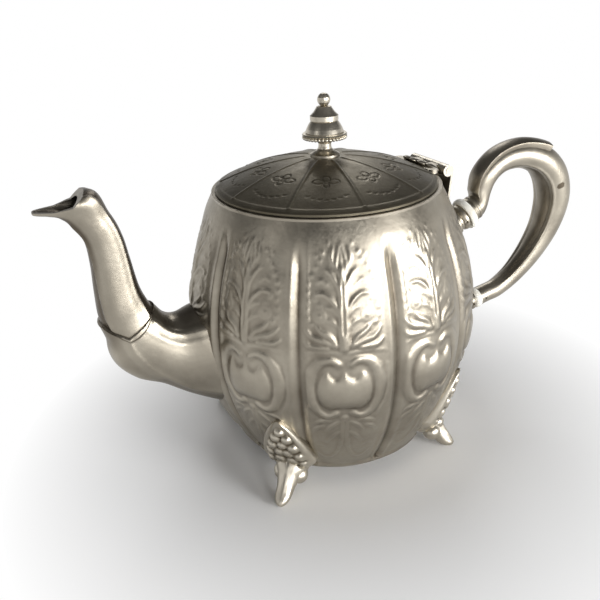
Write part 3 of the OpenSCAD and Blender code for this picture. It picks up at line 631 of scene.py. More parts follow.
def spout_points(shares, around, grow, ridges=(), facets=(), keel=None):
    """Points of the spout's skin at shares of its route, one row of shares for each ring.

    The section is a squared ellipse. A ridge is (height, width, its path as (share, angle) points),
    its angle counted from the upper side; a facet lies lower by its depth beyond such a path. The
    keel swells the outer side: it rises and falls between four shares, up to its height.
    """
    row = through(SPOUT_ROWS, shares)
    phi = circle_angles(around)[None, :] + 0 * shares
    depth_share = np.cos(phi)
    width_share = np.sin(phi)
    size = (np.abs(depth_share) ** SPOUT_SQUARE + np.abs(width_share) ** SPOUT_SQUARE) ** (
        1 / SPOUT_SQUARE)
    off = np.degrees(np.minimum(phi, 2 * math.pi - phi))
    at_share = shares + 0 * phi
    bump = np.zeros_like(phi)
    for height, width, path in ridges:
        path = np.array(path)
        at = np.interp(at_share, path[:, 0], path[:, 1])
        inside = ease(path[0, 0] - 0.3, path[0, 0], at_share) * (
            1 - ease(path[-1, 0], path[-1, 0] + 0.6, at_share))
        bump = bump + height * inside * np.exp(-np.abs((off - at) / width) ** 1.5)
    for depth, side, path in facets:
        path = np.array(path)
        at = np.interp(at_share, path[:, 0], path[:, 1])
        inside = 1 - ease(path[-1, 0], path[-1, 0] + 1.2, at_share)
        bump = bump - depth * inside * ease(1, 9, side * (off - at))
    if keel is not None:
        swell = ease(keel[0], keel[1], at_share) * (1 - ease(keel[2], keel[3], at_share))
        bump = bump + keel[4] * swell * ease(118, 150, off)
    half_depth = np.maximum(row[..., 3] + grow, row[..., 3] / 6) + bump
    half_width = np.maximum(row[..., 4] + grow, row[..., 4] / 6) + bump
    depth = half_depth * depth_share / size
    width = half_width * width_share / size
    tilt = np.radians(row[..., 2])
    points = np.stack([-(OUT_R + row[..., 0]) + depth * np.sin(tilt), width,
                       row[..., 1] + depth * np.cos(tilt)], -1)
    return points, bump


def mouth_cutter():
    """Block that opens the mouth: everything above the line from its back by the corner to the tip."""
    corner = np.array(MOUTH_CORNER)
    back = corner + 4 * (np.array(MOUTH_BACK) - corner)
    side = np.array([corner, back, [back[0], 200], [80, 200], [80, MOUTH_TIP[1]], MOUTH_TIP, MOUTH_LIP])
    ends = [np.stack([-(OUT_R + side[:, 0]), 0 * side[:, 0] + y, side[:, 1]], -1) for y in (30, -30)]
    return loft("cutter", np.stack(ends))


def painted_side_shade(off, outer, low, high, upper, near, far):
    """Painted shade by degrees off the upper side, as if those sides were turned from the light: outer
    past low to high, upper before near to far.
    """
    return outer * ease(low, high, off) + upper * (1 - ease(near, far, off))


def make_spout_base(around, seam, off):
    """Flared lower part: a hollow ring of rings from inside the body to the seam, with a strap."""
    middle, spread, wide, narrow = STRAP
    strap = narrow + wide * bell(off - middle, spread)
    shares = np.linspace(0, 1, BASE_RINGS)[:, None] * seam
    below = seam - shares
    band = STRAP_H * ease(0, STRAP_EDGE, below) * (1 - ease(strap, strap + STRAP_EDGE, below))
    outer, bump = spout_points(shares, around, SPOUT_PROUD + band, BASE_RIDGES, BASE_FACETS, BASE_KEEL)
    inner = spout_points(shares, around, -SPOUT_WALL)[0]
    rings = np.concatenate([outer, inner[::-1]])
    line = 0.8 * bell(below - strap - 0.03, SEAM_DARK)
    # Painted shade on the upper and outer sides, on the sunk facets and inside, less of it on the
    # ridges and the keel as a painted highlight, and a real dark line at the seam.
    shade_and_wear = np.concatenate([line + painted_side_shade(off, *BASE_SIDE_SHADE) - 0.3 * bump, 0.4 + 0 * bump])
    faces = grid_faces(rings.shape[0], around, True, True)
    base = new_piece("spout_root", rings.reshape(-1, 3), faces, shade_and_wear)
    carved(base, [body_core()], 50)
    finished(base, POT, "pewter", "spout_base")


def make_spout_neck(around, seam, off):
    """Upper part: a solid through its rings, with its hollow and its mouth cut out."""
    last = len(SPOUT_ROWS) - 3
    t = np.linspace(0, 1, NECK_RINGS)[:, None]
    start = seam - NECK_TUCK
    shares = start + t * (last - start)
    rise, top, fall, end = PEAK_SPAN
    peak = MOUTH_PEAK * ease(rise, top, shares) * (1 - ease(fall, end, shares))
    outer, bump = spout_points(shares, around, peak * ease(-0.4, 1, np.cos(np.radians(off))),
                               NECK_RIDGES, NECK_FACETS, NECK_KEEL)
    line = 0.5 * bell(shares - seam, SEAM_DARK)
    # Painted shade on the upper and outer sides and the sunk facets, less of it on the ridges and the
    # keel as a painted highlight, and a real dark line at the seam.
    neck = loft("spout_swan", outer, painted_side_shade(off, *NECK_SIDE_SHADE) + line - 0.3 * bump)
    inside = (start - HOLLOW_TUCK) + t * (last - 1 - start + HOLLOW_TUCK)
    # The hollow is painted darker, as shade inside the spout.
    hollow = loft("hollow", spout_points(inside, around, -SPOUT_WALL)[0], 0.45 + 0 * inside)
    carved(neck, [hollow, mouth_cutter()], 40)
    finished(neck, POT, "pewter", "spout_neck")


def make_spout(settings):
    """Base and neck of the spout, which meet at a pointed seam."""
    off = np.linspace(0, 360, settings.columns, endpoint=False)[None, :]
    off = np.minimum(off, 360 - off)
    seam = np.interp(off, *np.array(SEAM).T)
    make_spout_base(settings.columns, seam, off)
    make_spout_neck(settings.columns, seam, off)


def body_core():
    """Closed solid of everything inside the body, a little under its outer surface."""
    r, z = body_section(4)
    a, h = np.meshgrid(circle_angles(240), z)
    return loft("core", round_axis(r[:, None] - groove(a, h) - 0.2, a, h))


# ---- handle ----


def along(at, tilt, s):
    """Point s beyond at in the direction tilt, in the side view."""
    return [at[0] + s * math.cos(math.radians(tilt)), at[1] + s * math.sin(math.radians(tilt))]


def handle_rows():
    """The handle's rows with the joints' ends added."""
    upper = along(UPPER_AT, UPPER_TILT, COLLAR_END)
    lower = along(LOWER_AT, LOWER_TILT, COLLAR_END)
    return ([[*UPPER_AT, UPPER_TILT - 16, 6.2], [*upper, UPPER_TILT, 6]] + HANDLE_ROWS
            + [[*lower, LOWER_TILT - 180, 5.1], [*LOWER_AT, LOWER_TILT - 180, 5.1]])


def beside(row, r, angle):
    """Point r away from the route, turned by angle from the outer side of the bend."""
    tilt = np.radians(row[..., 2])
    out = r * np.cos(angle)
    return np.stack([OUT_R + row[..., 0] - out * np.sin(tilt), r * np.sin(angle) + 0 * out,
                     row[..., 1] + out * np.cos(tilt)], -1)


def make_handle(settings):
    """Handle as one round solid with the seam's ridge on both sides, and the strip on its back."""
    rows = handle_rows()
    last = len(rows) - 3
    shares = np.linspace(0, last, 12 * last + 1)[:, None]
    around = settings.columns
    angle = circle_angles(around)[None, :]
    off = np.degrees(np.minimum(angle, 2 * math.pi - angle))
    row = through(rows, shares + 0 * angle)
    start, full, fall, end = RIDGE_SPAN
    formed = ease(start, full, shares) * (1 - ease(fall, end, shares))
    bump = formed * (RIDGE_H * bell(off - RIDGE_AT, RIDGE_W) - FACET_D * ease(*FACET_SPAN, off))
    chip = np.hypot((shares - CHIP_AT[0]) / CHIP_SIZE[0], (np.degrees(angle) - CHIP_AT[1])
                    / CHIP_SIZE[1])
    # Painted shade on the facet beside the seam's ridge, less of it on the ridge as a painted
    # highlight, and the real chip as a dark mark.
    shade_and_wear = -0.4 * bump + 1.5 * (1 - ease(0.6, 1.0, chip))
    rings = beside(row, row[..., 3] + bump, angle + 0 * shares)
    tube = loft("handle_tube", rings[:, ::-1], shade_and_wear[:, ::-1])
    finished(tube, POT, "pewter", "handle_left", "handle_right")

    shares = np.linspace(STRIP_FIRST, STRIP_LAST, 96)[:, None]
    row = through(rows, shares)
    spread = np.concatenate([[-1, -0.98], np.linspace(-0.93, 0.93, 21), [0.98, 1]])[None, :]
    turn = spread * (np.radians(STRIP_HALF) + 0 * shares)
    rise = STRIP_H * (0.35 + 0.65 * shares / STRIP_LAST) * ease(-0.6, 1.2, shares)
    flat = 0.75 * ease(0, 2, shares)
    top = (1 - flat) * (row[..., 3] + rise) * np.cos(turn) + flat * (
        (row[..., 3] + rise) * (0.9 + 0.1 * np.cos(2 * turn)))
    top = np.maximum(top - 0.5 * (np.abs(spread) > 0.99), row[..., 3] * np.cos(turn) + 0.05)
    wide = (row[..., 3] + 0.3) * np.sin(turn)
    tilt = np.radians(row[..., 2])
    high = np.stack([OUT_R + row[..., 0] - top * np.sin(tilt), wide,
                     row[..., 1] + top * np.cos(tilt)], -1)
    low = beside(row, row[..., 3] - STRIP_SUNK, turn)
    rings = np.concatenate([low, high[:, ::-1]], 1)
    strip = loft("thumb_rest", rings, 0.25 + 0 * rings[..., 0], 35)
    finished(strip, POT, "pewter", "thumb_strip")


# ---- feet ----

ANKLE = [
    # out from the axis for a toe at 66.4, height, half width, half depth
    [45.5, 5.5, 6.4, 4.6],
    [50.5, 4.2, 8.2, 7.0],
    [54.5, 2.2, 7.6, 6.6],
    [58.0, -0.6, 5.6, 5.0],
    [61.2, -3.4, 4.4, 4.1],
    [63.8, -5.6, 4.0, 3.7],
    [66.2, -7.0, 3.6, 3.0],
    [68.2, -7.9, 2.7, 2.1],
    [69.5, -8.5, 1.4, 1.2],
    [69.9, -8.7, 0.5, 0.5],
]
ANKLE_FROM = ANKLE[0][0]
FOOT_LOW = -10
KNOB_H = 2.2
# Each knob of the leaf: aside, height, radius.
LEAF_KNOBS = [(0.0, 29.6, 2.4), (2.6, 25.4, 2.6), (0.0, 21.2, 2.6), (5.0, 19.8, 2.8), (2.2, 15.8, 2.9),
              (7.4, 14.0, 2.9), (3.2, 9.8, 3.3), (9.0, 8.0, 3.0), (0.0, 4.8, 3.2), (5.6, 4.0, 3.2)]
# Each ball of the ankle: out from the axis, aside, height, radius.
ANKLE_KNOBS = [(55.2, 4.0, -0.2, 4.5), (55.2, -4.0, -0.2, 4.5), (57.0, 0, 3.4, 3.6)]


def leaf_half(t):
    """Half width of the leaf in degrees at a share of its height: pointed on top, full below."""
    upper = np.clip((1 - t) / 0.75, 0, 1) ** 0.7
    lower = 0.6 + 0.4 * np.sin(2 * math.pi * t)
    return LEAF_HALF * np.where(t > 0.25, upper, lower)


def foot_leaf(angle):
    """Shield of the foot's leaf over the body: smooth border, knobs inside it, edges sunk in."""
    rows, columns = 90, 60
    t, u = np.meshgrid(np.linspace(0, 0.985, rows), np.linspace(-1, 1, columns), indexing="ij")
    z = 2 + (LEAF_TOP - 2) * t
    half = leaf_half(t)
    turn = np.radians(half * u)
    x = turn * OUT_R * 0.9
    swell = LEAF_PROUD + LEAF_SWELL * ease(0.9, 0.2, t)
    body = swell * (1 - 0.35 * t) * np.clip(1 - u**4, 0.0, 1) ** 0.5
    border = ease(0.6, 0.85, np.abs(u))
    drawn = np.zeros_like(x)
    for at in LEAF_KNOBS:
        drawn = np.maximum(drawn, dot(x, z, at, KNOB_H))
    drawn = blurred(drawn, 1)
    inner = (0.9 * drawn - 1.0) * (1 - border)
    # Painted shade in the hollows between the knobs; the leaf's inner field is a little darker all over
    # and its border is left light.
    shade_and_wear = 0.9 * (blurred(drawn, 3) - drawn) * (1 - border) + 0.15 * (1 - border) - 0.3 * border
    radii = barrel_r(z) + body + inner - 0.9 * (np.abs(u) > 0.999) - 0.6 * (t < 0.001)
    return round_axis(radii, turn + angle, z), shade_and_wear


def outwards(out, aside, z, angle):
    """Points out from the axis, aside from that line and at a height, the line turned by angle."""
    c, s = math.cos(angle), math.sin(angle)
    return np.stack([out * c - aside * s, out * s + aside * c, z], -1)


def foot_ankle(angle, toe_out):
    """Ankle and toe: oval rings from under the body down to the toe, with a ridge along its top."""
    rows = np.array(ANKLE, float)
    rows[:, 0] = ANKLE_FROM + (rows[:, 0] - ANKLE_FROM) * (toe_out - ANKLE_FROM) / (
        SPOUT_TOE_OUT - ANKLE_FROM)
    ends = np.vstack([2 * rows[0] - rows[1], rows, 2 * rows[-1] - rows[-2]])
    row = through(ends, np.linspace(0, len(rows) - 1, 60))[:, None, :]
    phi = circle_angles(40)[None, :]
    tilt = np.arctan2(np.gradient(row[:, 0, 1]), np.gradient(row[:, 0, 0]))[:, None]
    crest = 1 + 0.12 * bell(np.minimum(phi, 2 * math.pi - phi), 0.22)
    depth = row[..., 3] * np.cos(phi) * crest
    width = row[..., 2] * np.sin(phi)
    out = row[..., 0] - depth * np.sin(tilt)
    z = np.maximum(row[..., 1] + depth * np.cos(tilt), FOOT_LOW)
    return outwards(out, width, z, angle)[:, ::-1]


def foot_knob(angle, at):
    """Closed ball at (out, aside, height) with radius at[3], as rings from pole to pole."""
    lean = np.linspace(0.06, math.pi - 0.06, 16)[:, None]
    turn = circle_angles(24)[None, :]
    out = at[0] + at[3] * np.sin(lean) * np.cos(turn)
    aside = at[1] + at[3] * np.sin(lean) * np.sin(turn)
    return outwards(out, aside, at[2] - at[3] * np.cos(lean) + 0 * turn, angle)


def make_foot(name, degrees, toe_out):
    """One foot: the leaf with a plain back, the ankle and toe, and the ankle's knobs, as one mesh."""
    angle = math.radians(degrees)
    front, shade_and_wear = foot_leaf(angle)
    back = front.copy()
    flat = np.hypot(front[..., 0], front[..., 1])
    sunk = barrel_r(front[..., 2]) - 3
    back[..., :2] *= (np.minimum(sunk, flat - 0.4) / flat)[..., None]
    leaf = np.concatenate([front, back[:, ::-1]], 1)
    parts = [foot_ankle(angle, toe_out)] + [foot_knob(angle, at) for at in ANKLE_KNOBS]
    painted_shade_and_wear = [np.concatenate([shade_and_wear, 0 * shade_and_wear], 1)] + [0 * part[..., 0] for part in parts]
    piece = lofts(name.replace("foot", "leg"), [leaf] + parts,
                  np.concatenate([values.ravel() for values in painted_shade_and_wear]), 60)
    finished(piece, POT, "bright_pewter", name)


def make_feet():
    """Four feet, the ones under the spout a little longer in the toe."""
    for name, degrees, toe_out in (
        ("foot_spout_left", 180 + FOOT_ANGLE, SPOUT_TOE_OUT),
        ("foot_spout_right", 180 - FOOT_ANGLE, SPOUT_TOE_OUT),
        ("foot_handle_left", -FOOT_ANGLE, HANDLE_TOE_OUT),
        ("foot_handle_right", FOOT_ANGLE, HANDLE_TOE_OUT),
    ):
        make_foot(name, degrees, toe_out)


# ---- hinge ----

SHELL_FROM = 56.2
SHELL_IN = 2.5
SHELL_FAN = 0.18
SHELL_OVER = 1.2
# Each petal: aside from the middle, length.
SHELL_PETALS = [(-11.5, 6.0), (-7.2, 8.6), (-2.6, 10.4), (2.6, 10.4), (7.2, 8.6), (11.5, 6.0)]
SHELL_HALF = (2.5, 1.5)


def make_shell():
    """Petals fanned over the hinge's leaf, from the barrel towards the middle of the lid."""
    share = np.linspace(0, 1, 24)[:, None]
    turn = circle_angles(20)[None, :]
    swell = np.sin(math.pi * (0.03 + 0.94 * share)) ** 0.5
    parts = []
    for aside, length in SHELL_PETALS:
        out = SHELL_FROM - SHELL_IN - length * share + 0 * turn
        y = aside * (1 - SHELL_FAN * share) + SHELL_HALF[0] * swell * np.cos(turn)
        on_lid = DOME_Z + np.sqrt(DOME_R**2 - out**2)
        z = np.maximum(on_lid + SHELL_OVER, 0) + SHELL_HALF[1] * swell * np.sin(turn)
        parts.append(np.stack([out, y, z], -1)[:, ::-1])
    points = sum(part[..., 0].size for part in parts)
    piece = lofts("hinge_shell", parts, 0.3 + np.zeros(points), 60)
    finished(piece, LID, "bright_pewter")


# ---- materials ----


def nodes_of(name):
    """A material of that name with an empty node tree but for its output and shader."""
    material = bpy.data.materials.get(name) or bpy.data.materials.new(name)
    material.name = name
    material.use_nodes = True
    tree = material.node_tree
    tree.nodes.clear()
    output = tree.nodes.new("ShaderNodeOutputMaterial")
    shader = tree.nodes.new("ShaderNodeBsdfPrincipled")
    tree.links.new(shader.outputs["BSDF"], output.inputs["Surface"])
    return tree, shader


def noise(tree, scale, detail):
    """Noise over the object's own coordinates, scale in features a metre."""
    place = tree.nodes.new("ShaderNodeTexCoord")
    texture = tree.nodes.new("ShaderNodeTexNoise")
    texture.inputs["Scale"].default_value = scale
    texture.inputs["Detail"].default_value = detail
    tree.links.new(place.outputs["Object"], texture.inputs["Vector"])
    return texture.outputs["Fac"]


def ranged(tree, value, low, high, to_low, to_high):
    """Maps a value's range onto another."""
    node = tree.nodes.new("ShaderNodeMapRange")
    for socket, number in zip(node.inputs[1:5], (low, high, to_low, to_high)):
        socket.default_value = number
    tree.links.new(value, node.inputs[0])
    return node.outputs[0]


def mixed(tree, share, first, second):
    """Mixes two colours by a share."""
    node = tree.nodes.new("ShaderNodeMix")
    node.data_type = "RGBA"
    tree.links.new(share, node.inputs["Factor"])
    for socket, colour in ((node.inputs[6], first), (node.inputs[7], second)):
        socket.default_value = (*colour, 1)
    return node.outputs[2]


def joined(tree, operation, first, second, clamped=False):
    """Joins two values by the named operation."""
    node = tree.nodes.new("ShaderNodeMath")
    node.operation = operation
    node.use_clamp = clamped
    tree.links.new(first, node.inputs[0])
    tree.links.new(second, node.inputs[1])
    return node.outputs[0]


# Each metal: its dark colour, towards which the cloudy patches and the painted shade mix, its lowest
# and highest roughness, the strength of its pits.
METALS = {
    "pewter": ((0.1, 0.082, 0.06), 0.35, 0.45, 0.25),
    "lid_pewter": ((0.07, 0.057, 0.04), 0.4, 0.52, 0.3),
    "bright_pewter": ((0.12, 0.1, 0.07), 0.3, 0.4, 0.2),
    "fixings": ((0.12, 0.1, 0.075), 0.3, 0.4, 0.1),
}
FIXINGS = (0.42, 0.39, 0.33)
PALE_BONE = (0.86, 0.85, 0.8)
WARM_BONE = (0.74, 0.7, 0.6)


def metal(name, base, dark, smooth, rough, pits):
    """Satin metal: darker by the painted shade in recesses and the few real wear marks that the mesh
    carries, and in cloudy patches, with fine scratches and small pits.
    """
    tree, shader = nodes_of(name)
    shade_and_wear = tree.nodes.new("ShaderNodeAttribute")
    shade_and_wear.attribute_name = "painted_shade_and_wear"
    clouds = ranged(tree, noise(tree, 55, 6), 0.35, 0.75, 0, 0.45)
    shade_and_wear_share = ranged(tree, shade_and_wear.outputs["Fac"], 0.0, 0.8, 0, 1)
    # The colour mixes towards dark by random clouds and by the mesh's painted shade and wear.
    colour = mixed(tree, joined(tree, "ADD", clouds, shade_and_wear_share, True), base, dark)
    grain = ranged(tree, noise(tree, 900, 3), 0.3, 0.7, -0.04, 0.04)
    tree.links.new(colour, shader.inputs["Base Color"])
    shader.inputs["Metallic"].default_value = 1.0
    cloudy = ranged(tree, noise(tree, 140, 5), 0.3, 0.7, smooth, rough)
    tree.links.new(joined(tree, "ADD", cloudy, grain), shader.inputs["Roughness"])
    bump = tree.nodes.new("ShaderNodeBump")
    bump.inputs["Strength"].default_value = pits
    bump.inputs["Distance"].default_value = 0.0003
    tree.links.new(noise(tree, 420, 5), bump.inputs["Height"])
    tree.links.new(bump.outputs["Normal"], shader.inputs["Normal"])


def bone(name, pale, warm):
    """Pale insulator: faint streaks of a warmer tone and a soft sheen."""
    tree, shader = nodes_of(name)
    share = ranged(tree, noise(tree, 160, 5), 0.4, 0.75, 0, 1)
    tree.links.new(mixed(tree, share, pale, warm), shader.inputs["Base Color"])
    shader.inputs["Roughness"].default_value = 0.42
    shader.inputs["IOR"].default_value = 1.5


def make_materials(settings):
    """One material for each slot of the record."""
    bases = (settings.pewter, settings.lid, settings.bright, FIXINGS)
    for (name, finish), base in zip(METALS.items(), bases):
        metal(name, tuple(base), *finish)
    bone("insulator", PALE_BONE, WARM_BONE)


# ---- stage ----

# Millimetres; all the other places of the stage are metres.
CAMERA_AT = (-129.47, -258.6, 213.3)
CAMERA_TURN = 21.9
CAMERA_DOWN = 25.8
CAMERA_ROLL = 2.7
CAMERA_LENS = 37.78
# Upward part of a direction at which the white wall starts to fade, and at which it has gone.
WALL_TOP = (0.16, 0.34)
# Place on the way from straight down to straight up, and the grey of the dim studio there.
STUDIO = ((0.0, 0.3), (0.46, 0.16), (0.54, 0.12), (0.7, 0.1), (1.0, 0.16))
FLOOR_HALF = 6.0
FLOOR_FADE = (0.075, 0.18)
FLOOR_GREYS = ((0.93, 0.93, 0.93), (0.96, 0.96, 0.96))
LIT_AT = (0, 0, 0.08)
# Each lamp: name, place, size, share of the key's power.
LAMPS = (
    ("key", (0.7, -1.1, 0.29), 0.5, 1.0),
    ("front", (0.0, -1.3, 0.3), 0.35, 0.45),
    ("side", (-1.2, -0.3, 0.8), 0.4, 0.06),
    ("back", (0.5, 1.0, 0.9), 0.5, 0.2),
)


def make_camera():
    """Camera at the viewing angle, from its compass turn, its fall and its roll."""
    turn, down, roll = (math.radians(v) for v in (CAMERA_TURN, CAMERA_DOWN, CAMERA_ROLL))
    ahead = Vector((math.sin(turn) * math.cos(down), math.cos(turn) * math.cos(down), -math.sin(down)))
    right = Vector((math.cos(turn), -math.sin(turn), 0))
    up = right.cross(ahead)
    across = math.cos(roll) * right - math.sin(roll) * up
    upright = math.sin(roll) * right + math.cos(roll) * up
    camera = bpy.data.objects.new("camera", bpy.data.cameras.new("camera"))
    camera.data.lens = CAMERA_LENS
    camera.data.sensor_width = 36
    camera.data.clip_start = 0.01
    camera.matrix_world = Matrix((across, upright, -ahead)).transposed().to_4x4()
    camera.location = Vector(CAMERA_AT) * MM
    bpy.context.scene.collection.objects.link(camera)
    bpy.context.scene.camera = camera


def soft_light(name, at, size, power):
    """Square lamp at a point in metres, turned to the middle of the pot."""
    data = bpy.data.lights.new(name, "AREA")
    data.shape = "SQUARE"
    data.size = size
    data.energy = power
    lamp = bpy.data.objects.new(name, data)
    lamp.location = at
    lamp.rotation_euler = (Vector(LIT_AT) - Vector(at)).to_track_quat("-Z", "Y").to_euler()
    bpy.context.scene.collection.objects.link(lamp)


def seen_rays(tree):
    """One for camera, glossy and transmission rays, none for the others."""
    path = tree.nodes.new("ShaderNodeLightPath")
    seen = path.outputs["Is Camera Ray"]
    for ray in ("Is Glossy Ray", "Is Transmission Ray"):
        seen = joined(tree, "MAXIMUM", seen, path.outputs[ray])
    return seen


def make_world(settings):
    """White wall all round under a dim ceiling: camera, glossy and transmission rays see the same."""
    world = bpy.data.worlds.new("studio")
    world.use_nodes = True
    tree = world.node_tree
    tree.nodes.clear()
    output = tree.nodes.new("ShaderNodeOutputWorld")
    place = tree.nodes.new("ShaderNodeTexCoord")
    split = tree.nodes.new("ShaderNodeSeparateXYZ")
    tree.links.new(place.outputs["Generated"], split.inputs[0])
    ramp = tree.nodes.new("ShaderNodeValToRGB")
    height = ranged(tree, split.outputs["Z"], -1, 1, 0, 1)
    tree.links.new(height, ramp.inputs[0])
    while len(ramp.color_ramp.elements) < len(STUDIO):
        ramp.color_ramp.elements.new(0.5)
    for element, (at, level) in zip(ramp.color_ramp.elements, STUDIO):
        element.position = at
        element.color = (level, level, level, 1)
    around = tree.nodes.new("ShaderNodeBackground")
    around.inputs["Strength"].default_value = settings.world_strength
    tree.links.new(ramp.outputs["Color"], around.inputs["Color"])
    white = tree.nodes.new("ShaderNodeBackground")
    white.inputs["Color"].default_value = (1, 1, 1, 1)
    white.inputs["Strength"].default_value = 1.0
    wall = ranged(tree, split.outputs["Z"], *WALL_TOP, 1, 0)
    shown = joined(tree, "MULTIPLY", seen_rays(tree), wall)
    mix = tree.nodes.new("ShaderNodeMixShader")
    tree.links.new(shown, mix.inputs[0])
    tree.links.new(around.outputs[0], mix.inputs[1])
    tree.links.new(white.outputs[0], mix.inputs[2])
    tree.links.new(mix.outputs[0], output.inputs["Surface"])
    bpy.context.scene.world = world


def make_floor():
    """Pale floor, plain white past the pot for rays that show it; it keeps the pot's shadow."""
    size = FLOOR_HALF
    mesh = bpy.data.meshes.new("floor")
    corners = [(-size, -size, 0), (size, -size, 0), (size, size, 0), (-size, size, 0)]
    mesh.from_pydata(corners, [], [[0, 1, 2, 3]])
    floor = bpy.data.objects.new("floor", mesh)
    bpy.context.scene.collection.objects.link(floor)
    tree, shader = nodes_of("floor")
    share = ranged(tree, noise(tree, 3, 2), 0.3, 0.7, 0, 1)
    tree.links.new(mixed(tree, share, *FLOOR_GREYS), shader.inputs["Base Color"])
    shader.inputs["Roughness"].default_value = 0.8
    place = tree.nodes.new("ShaderNodeTexCoord")
    away = tree.nodes.new("ShaderNodeVectorMath")
    away.operation = "LENGTH"
    tree.links.new(place.outputs["Object"], away.inputs[0])
    far = ranged(tree, away.outputs["Value"], *FLOOR_FADE, 0, 1)
    shown = joined(tree, "MULTIPLY", far, seen_rays(tree))
    white = tree.nodes.new("ShaderNodeEmission")
    white.inputs["Color"].default_value = (1, 1, 1, 1)
    white.inputs["Strength"].default_value = 1.0
    mix = tree.nodes.new("ShaderNodeMixShader")
    output = next(node for node in tree.nodes if node.bl_idname == "ShaderNodeOutputMaterial")
    tree.links.new(shown, mix.inputs[0])
    tree.links.new(shader.outputs[0], mix.inputs[1])
    tree.links.new(white.outputs[0], mix.inputs[2])
    tree.links.new(mix.outputs[0], output.inputs["Surface"])
    mesh.materials.append(bpy.data.materials["floor"])


def make_stage(settings):
    """Floor, world, lamps and camera."""
    bpy.context.scene.view_settings.view_transform = "Standard"
    make_floor()
    make_world(settings)
    for name, at, size, share in LAMPS:
        soft_light(name, at, size, settings.key_power * share)
    make_camera()


# ---- settings, operators and panel ----


class TeapotBodySettings(bpy.types.PropertyGroup):
    """How finely the lobes are drawn."""

    columns: bpy.props.IntProperty(
        name="Columns", description="Points across one lobe", default=84, min=20, max=120)
    row_height: bpy.props.FloatProperty(
        name="Row height", description="Distance between rows of points", default=0.00054,
        min=0.0003, max=0.005, unit="LENGTH", subtype="DISTANCE")
    relief: bpy.props.FloatProperty(
        name="Relief", description="Share of the ornament's full height", default=1.0, min=0, max=2)


class TeapotLidSettings(bpy.types.PropertyGroup):
    """How finely the lid is drawn."""

    columns: bpy.props.IntProperty(
        name="Columns", description="Points round the lid", default=620, min=100, max=800)
    row_height: bpy.props.FloatProperty(
        name="Row width", description="Distance between rings of points", default=0.0005,
        min=0.0003, max=0.005, unit="LENGTH", subtype="DISTANCE")
    relief: bpy.props.FloatProperty(
        name="Relief", description="Share of the ornament's full height", default=0.7, min=0, max=2)


class TeapotTubeSettings(bpy.types.PropertyGroup):
    """How finely the spout and the handle are drawn."""

    columns: bpy.props.IntProperty(
        name="Columns", description="Points round a section", default=120, min=24, max=240)


class TeapotMetalSettings(bpy.types.PropertyGroup):
    """Colours of the clean metal."""

    pewter: bpy.props.FloatVectorProperty(
        name="Pewter", description="Colour of the body, the spout and the handle", subtype="COLOR",
        size=3, default=(0.38, 0.346, 0.285), min=0, max=1)
    lid: bpy.props.FloatVectorProperty(
        name="Lid", description="Colour of the darker lid", subtype="COLOR",
        size=3, default=(0.21, 0.187, 0.138), min=0, max=1)
    bright: bpy.props.FloatVectorProperty(
        name="Bright pewter", description="Colour of the feet and the hinge", subtype="COLOR",
        size=3, default=(0.58, 0.535, 0.45), min=0, max=1)


class TeapotStageSettings(bpy.types.PropertyGroup):
    """Light of the stage."""

    key_power: bpy.props.FloatProperty(
        name="Key power", description="Power of the main lamp", default=15.0, min=0, max=200,
        unit="POWER")
    world_strength: bpy.props.FloatProperty(
        name="World", description="Strength of the studio round the pot", default=0.9, min=0, max=3)


class TEAPOT_OT_materials(bpy.types.Operator):
    """Makes the metals and the insulator's material"""

    bl_idname = "teapot.materials"
    bl_label = "Make Materials"

    def execute(self, context):
        """Clears and draws each material."""
        make_materials(context.scene.teapot_metal)
        return {"FINISHED"}


class TEAPOT_OT_body(bpy.types.Operator):
    """Makes the lobed body with its ornament"""

    bl_idname = "teapot.body"
    bl_label = "Make Body"

    def execute(self, context):
        """Makes the ten lobes."""
        make_body(context.scene.teapot_body)
        return {"FINISHED"}


class TEAPOT_OT_lid(bpy.types.Operator):
    """Makes the dome of the lid"""

    bl_idname = "teapot.lid"
    bl_label = "Make Lid"

    def execute(self, context):
        """Makes the dome."""
        make_lid(context.scene.teapot_lid)
        return {"FINISHED"}


class TEAPOT_OT_spout(bpy.types.Operator):
    """Makes the spout's base and neck"""

    bl_idname = "teapot.spout"
    bl_label = "Make Spout"

    def execute(self, context):
        """Makes both parts."""
        make_spout(context.scene.teapot_tube)
        return {"FINISHED"}


class TEAPOT_OT_handle(bpy.types.Operator):
    """Makes the handle's tube and its thumb rest"""

    bl_idname = "teapot.handle"
    bl_label = "Make Handle"

    def execute(self, context):
        """Makes the tube and the strip."""
        make_handle(context.scene.teapot_tube)
        return {"FINISHED"}


class TEAPOT_OT_feet(bpy.types.Operator):
    """Makes the four feet"""

    bl_idname = "teapot.feet"
    bl_label = "Make Feet"

    def execute(self, context):
        """Makes each foot."""
        make_feet()
        return {"FINISHED"}


class TEAPOT_OT_hinge(bpy.types.Operator):
    """Makes the shell on the hinge's leaf"""

    bl_idname = "teapot.hinge"
    bl_label = "Make Hinge Shell"

    def execute(self, context):
        """Makes the petals."""
        make_shell()
        return {"FINISHED"}


class TEAPOT_OT_stage(bpy.types.Operator):
    """Makes the floor, the light and the camera"""

    bl_idname = "teapot.stage"
    bl_label = "Make Stage"

    def execute(self, context):
        """Makes the stage."""
        make_stage(context.scene.teapot_stage)
        return {"FINISHED"}


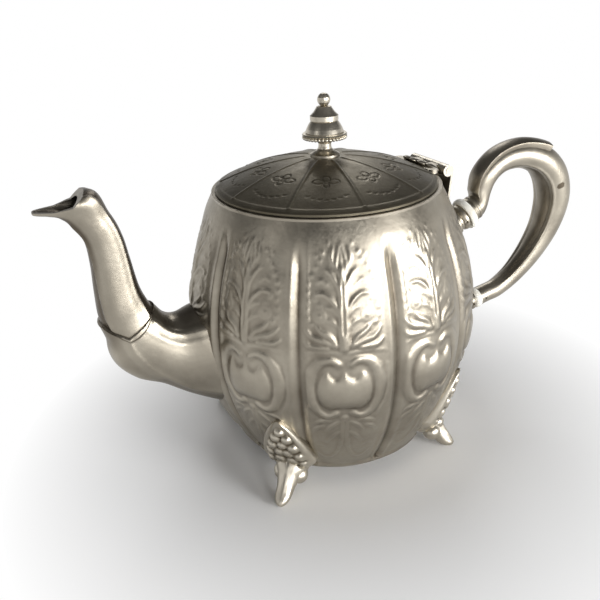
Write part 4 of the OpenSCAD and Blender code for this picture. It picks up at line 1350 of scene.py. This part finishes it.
class TEAPOT_PT_panel(bpy.types.Panel):
    """Settings and buttons of the teapot"""

    bl_idname = "TEAPOT_PT_panel"
    bl_label = "Pewter Teapot"
    bl_space_type = "VIEW_3D"
    bl_region_type = "UI"
    bl_category = "Teapot"

    def draw(self, context):
        """Lists each group's settings above the buttons."""
        scene = context.scene
        for name in GROUPS:
            group = getattr(scene, name)
            box = self.layout.box()
            for key in group.__annotations__:
                box.prop(group, key)
        for operator in OPERATORS:
            self.layout.operator(operator.bl_idname)


GROUPS = {
    "teapot_metal": TeapotMetalSettings,
    "teapot_body": TeapotBodySettings,
    "teapot_lid": TeapotLidSettings,
    "teapot_tube": TeapotTubeSettings,
    "teapot_stage": TeapotStageSettings,
}
OPERATORS = (
    TEAPOT_OT_materials, TEAPOT_OT_body, TEAPOT_OT_lid, TEAPOT_OT_spout, TEAPOT_OT_handle,
    TEAPOT_OT_feet, TEAPOT_OT_hinge, TEAPOT_OT_stage,
)


def register():
    """Registers the classes and hangs the settings on the scene."""
    for group in (*GROUPS.values(), *OPERATORS, TEAPOT_PT_panel):
        bpy.utils.register_class(group)
    for name, group in GROUPS.items():
        setattr(bpy.types.Scene, name, bpy.props.PointerProperty(type=group))


def unregister():
    """Takes everything away again."""
    for name in GROUPS:
        delattr(bpy.types.Scene, name)
    for group in (*GROUPS.values(), *OPERATORS, TEAPOT_PT_panel):
        bpy.utils.unregister_class(group)


def dress_nodes():
    """Puts each kept node's better material in its slots, by the record's own slot names."""
    slots = {entry["node"]: entry["material_slot"] for entry in frame["record"]["subparts"]}
    for name, node in frame["nodes"].items():
        material = bpy.data.materials[slots[name]]
        for place in node.material_slots:
            place.material = material


def main():
    """Builds everything in order."""
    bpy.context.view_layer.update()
    register()
    bpy.ops.teapot.materials()
    dress_nodes()
    bpy.ops.teapot.body()
    bpy.ops.teapot.lid()
    bpy.ops.teapot.spout()
    bpy.ops.teapot.handle()
    bpy.ops.teapot.feet()
    bpy.ops.teapot.hinge()
    bpy.ops.teapot.stage()


if __name__ == "__main__":
    main()
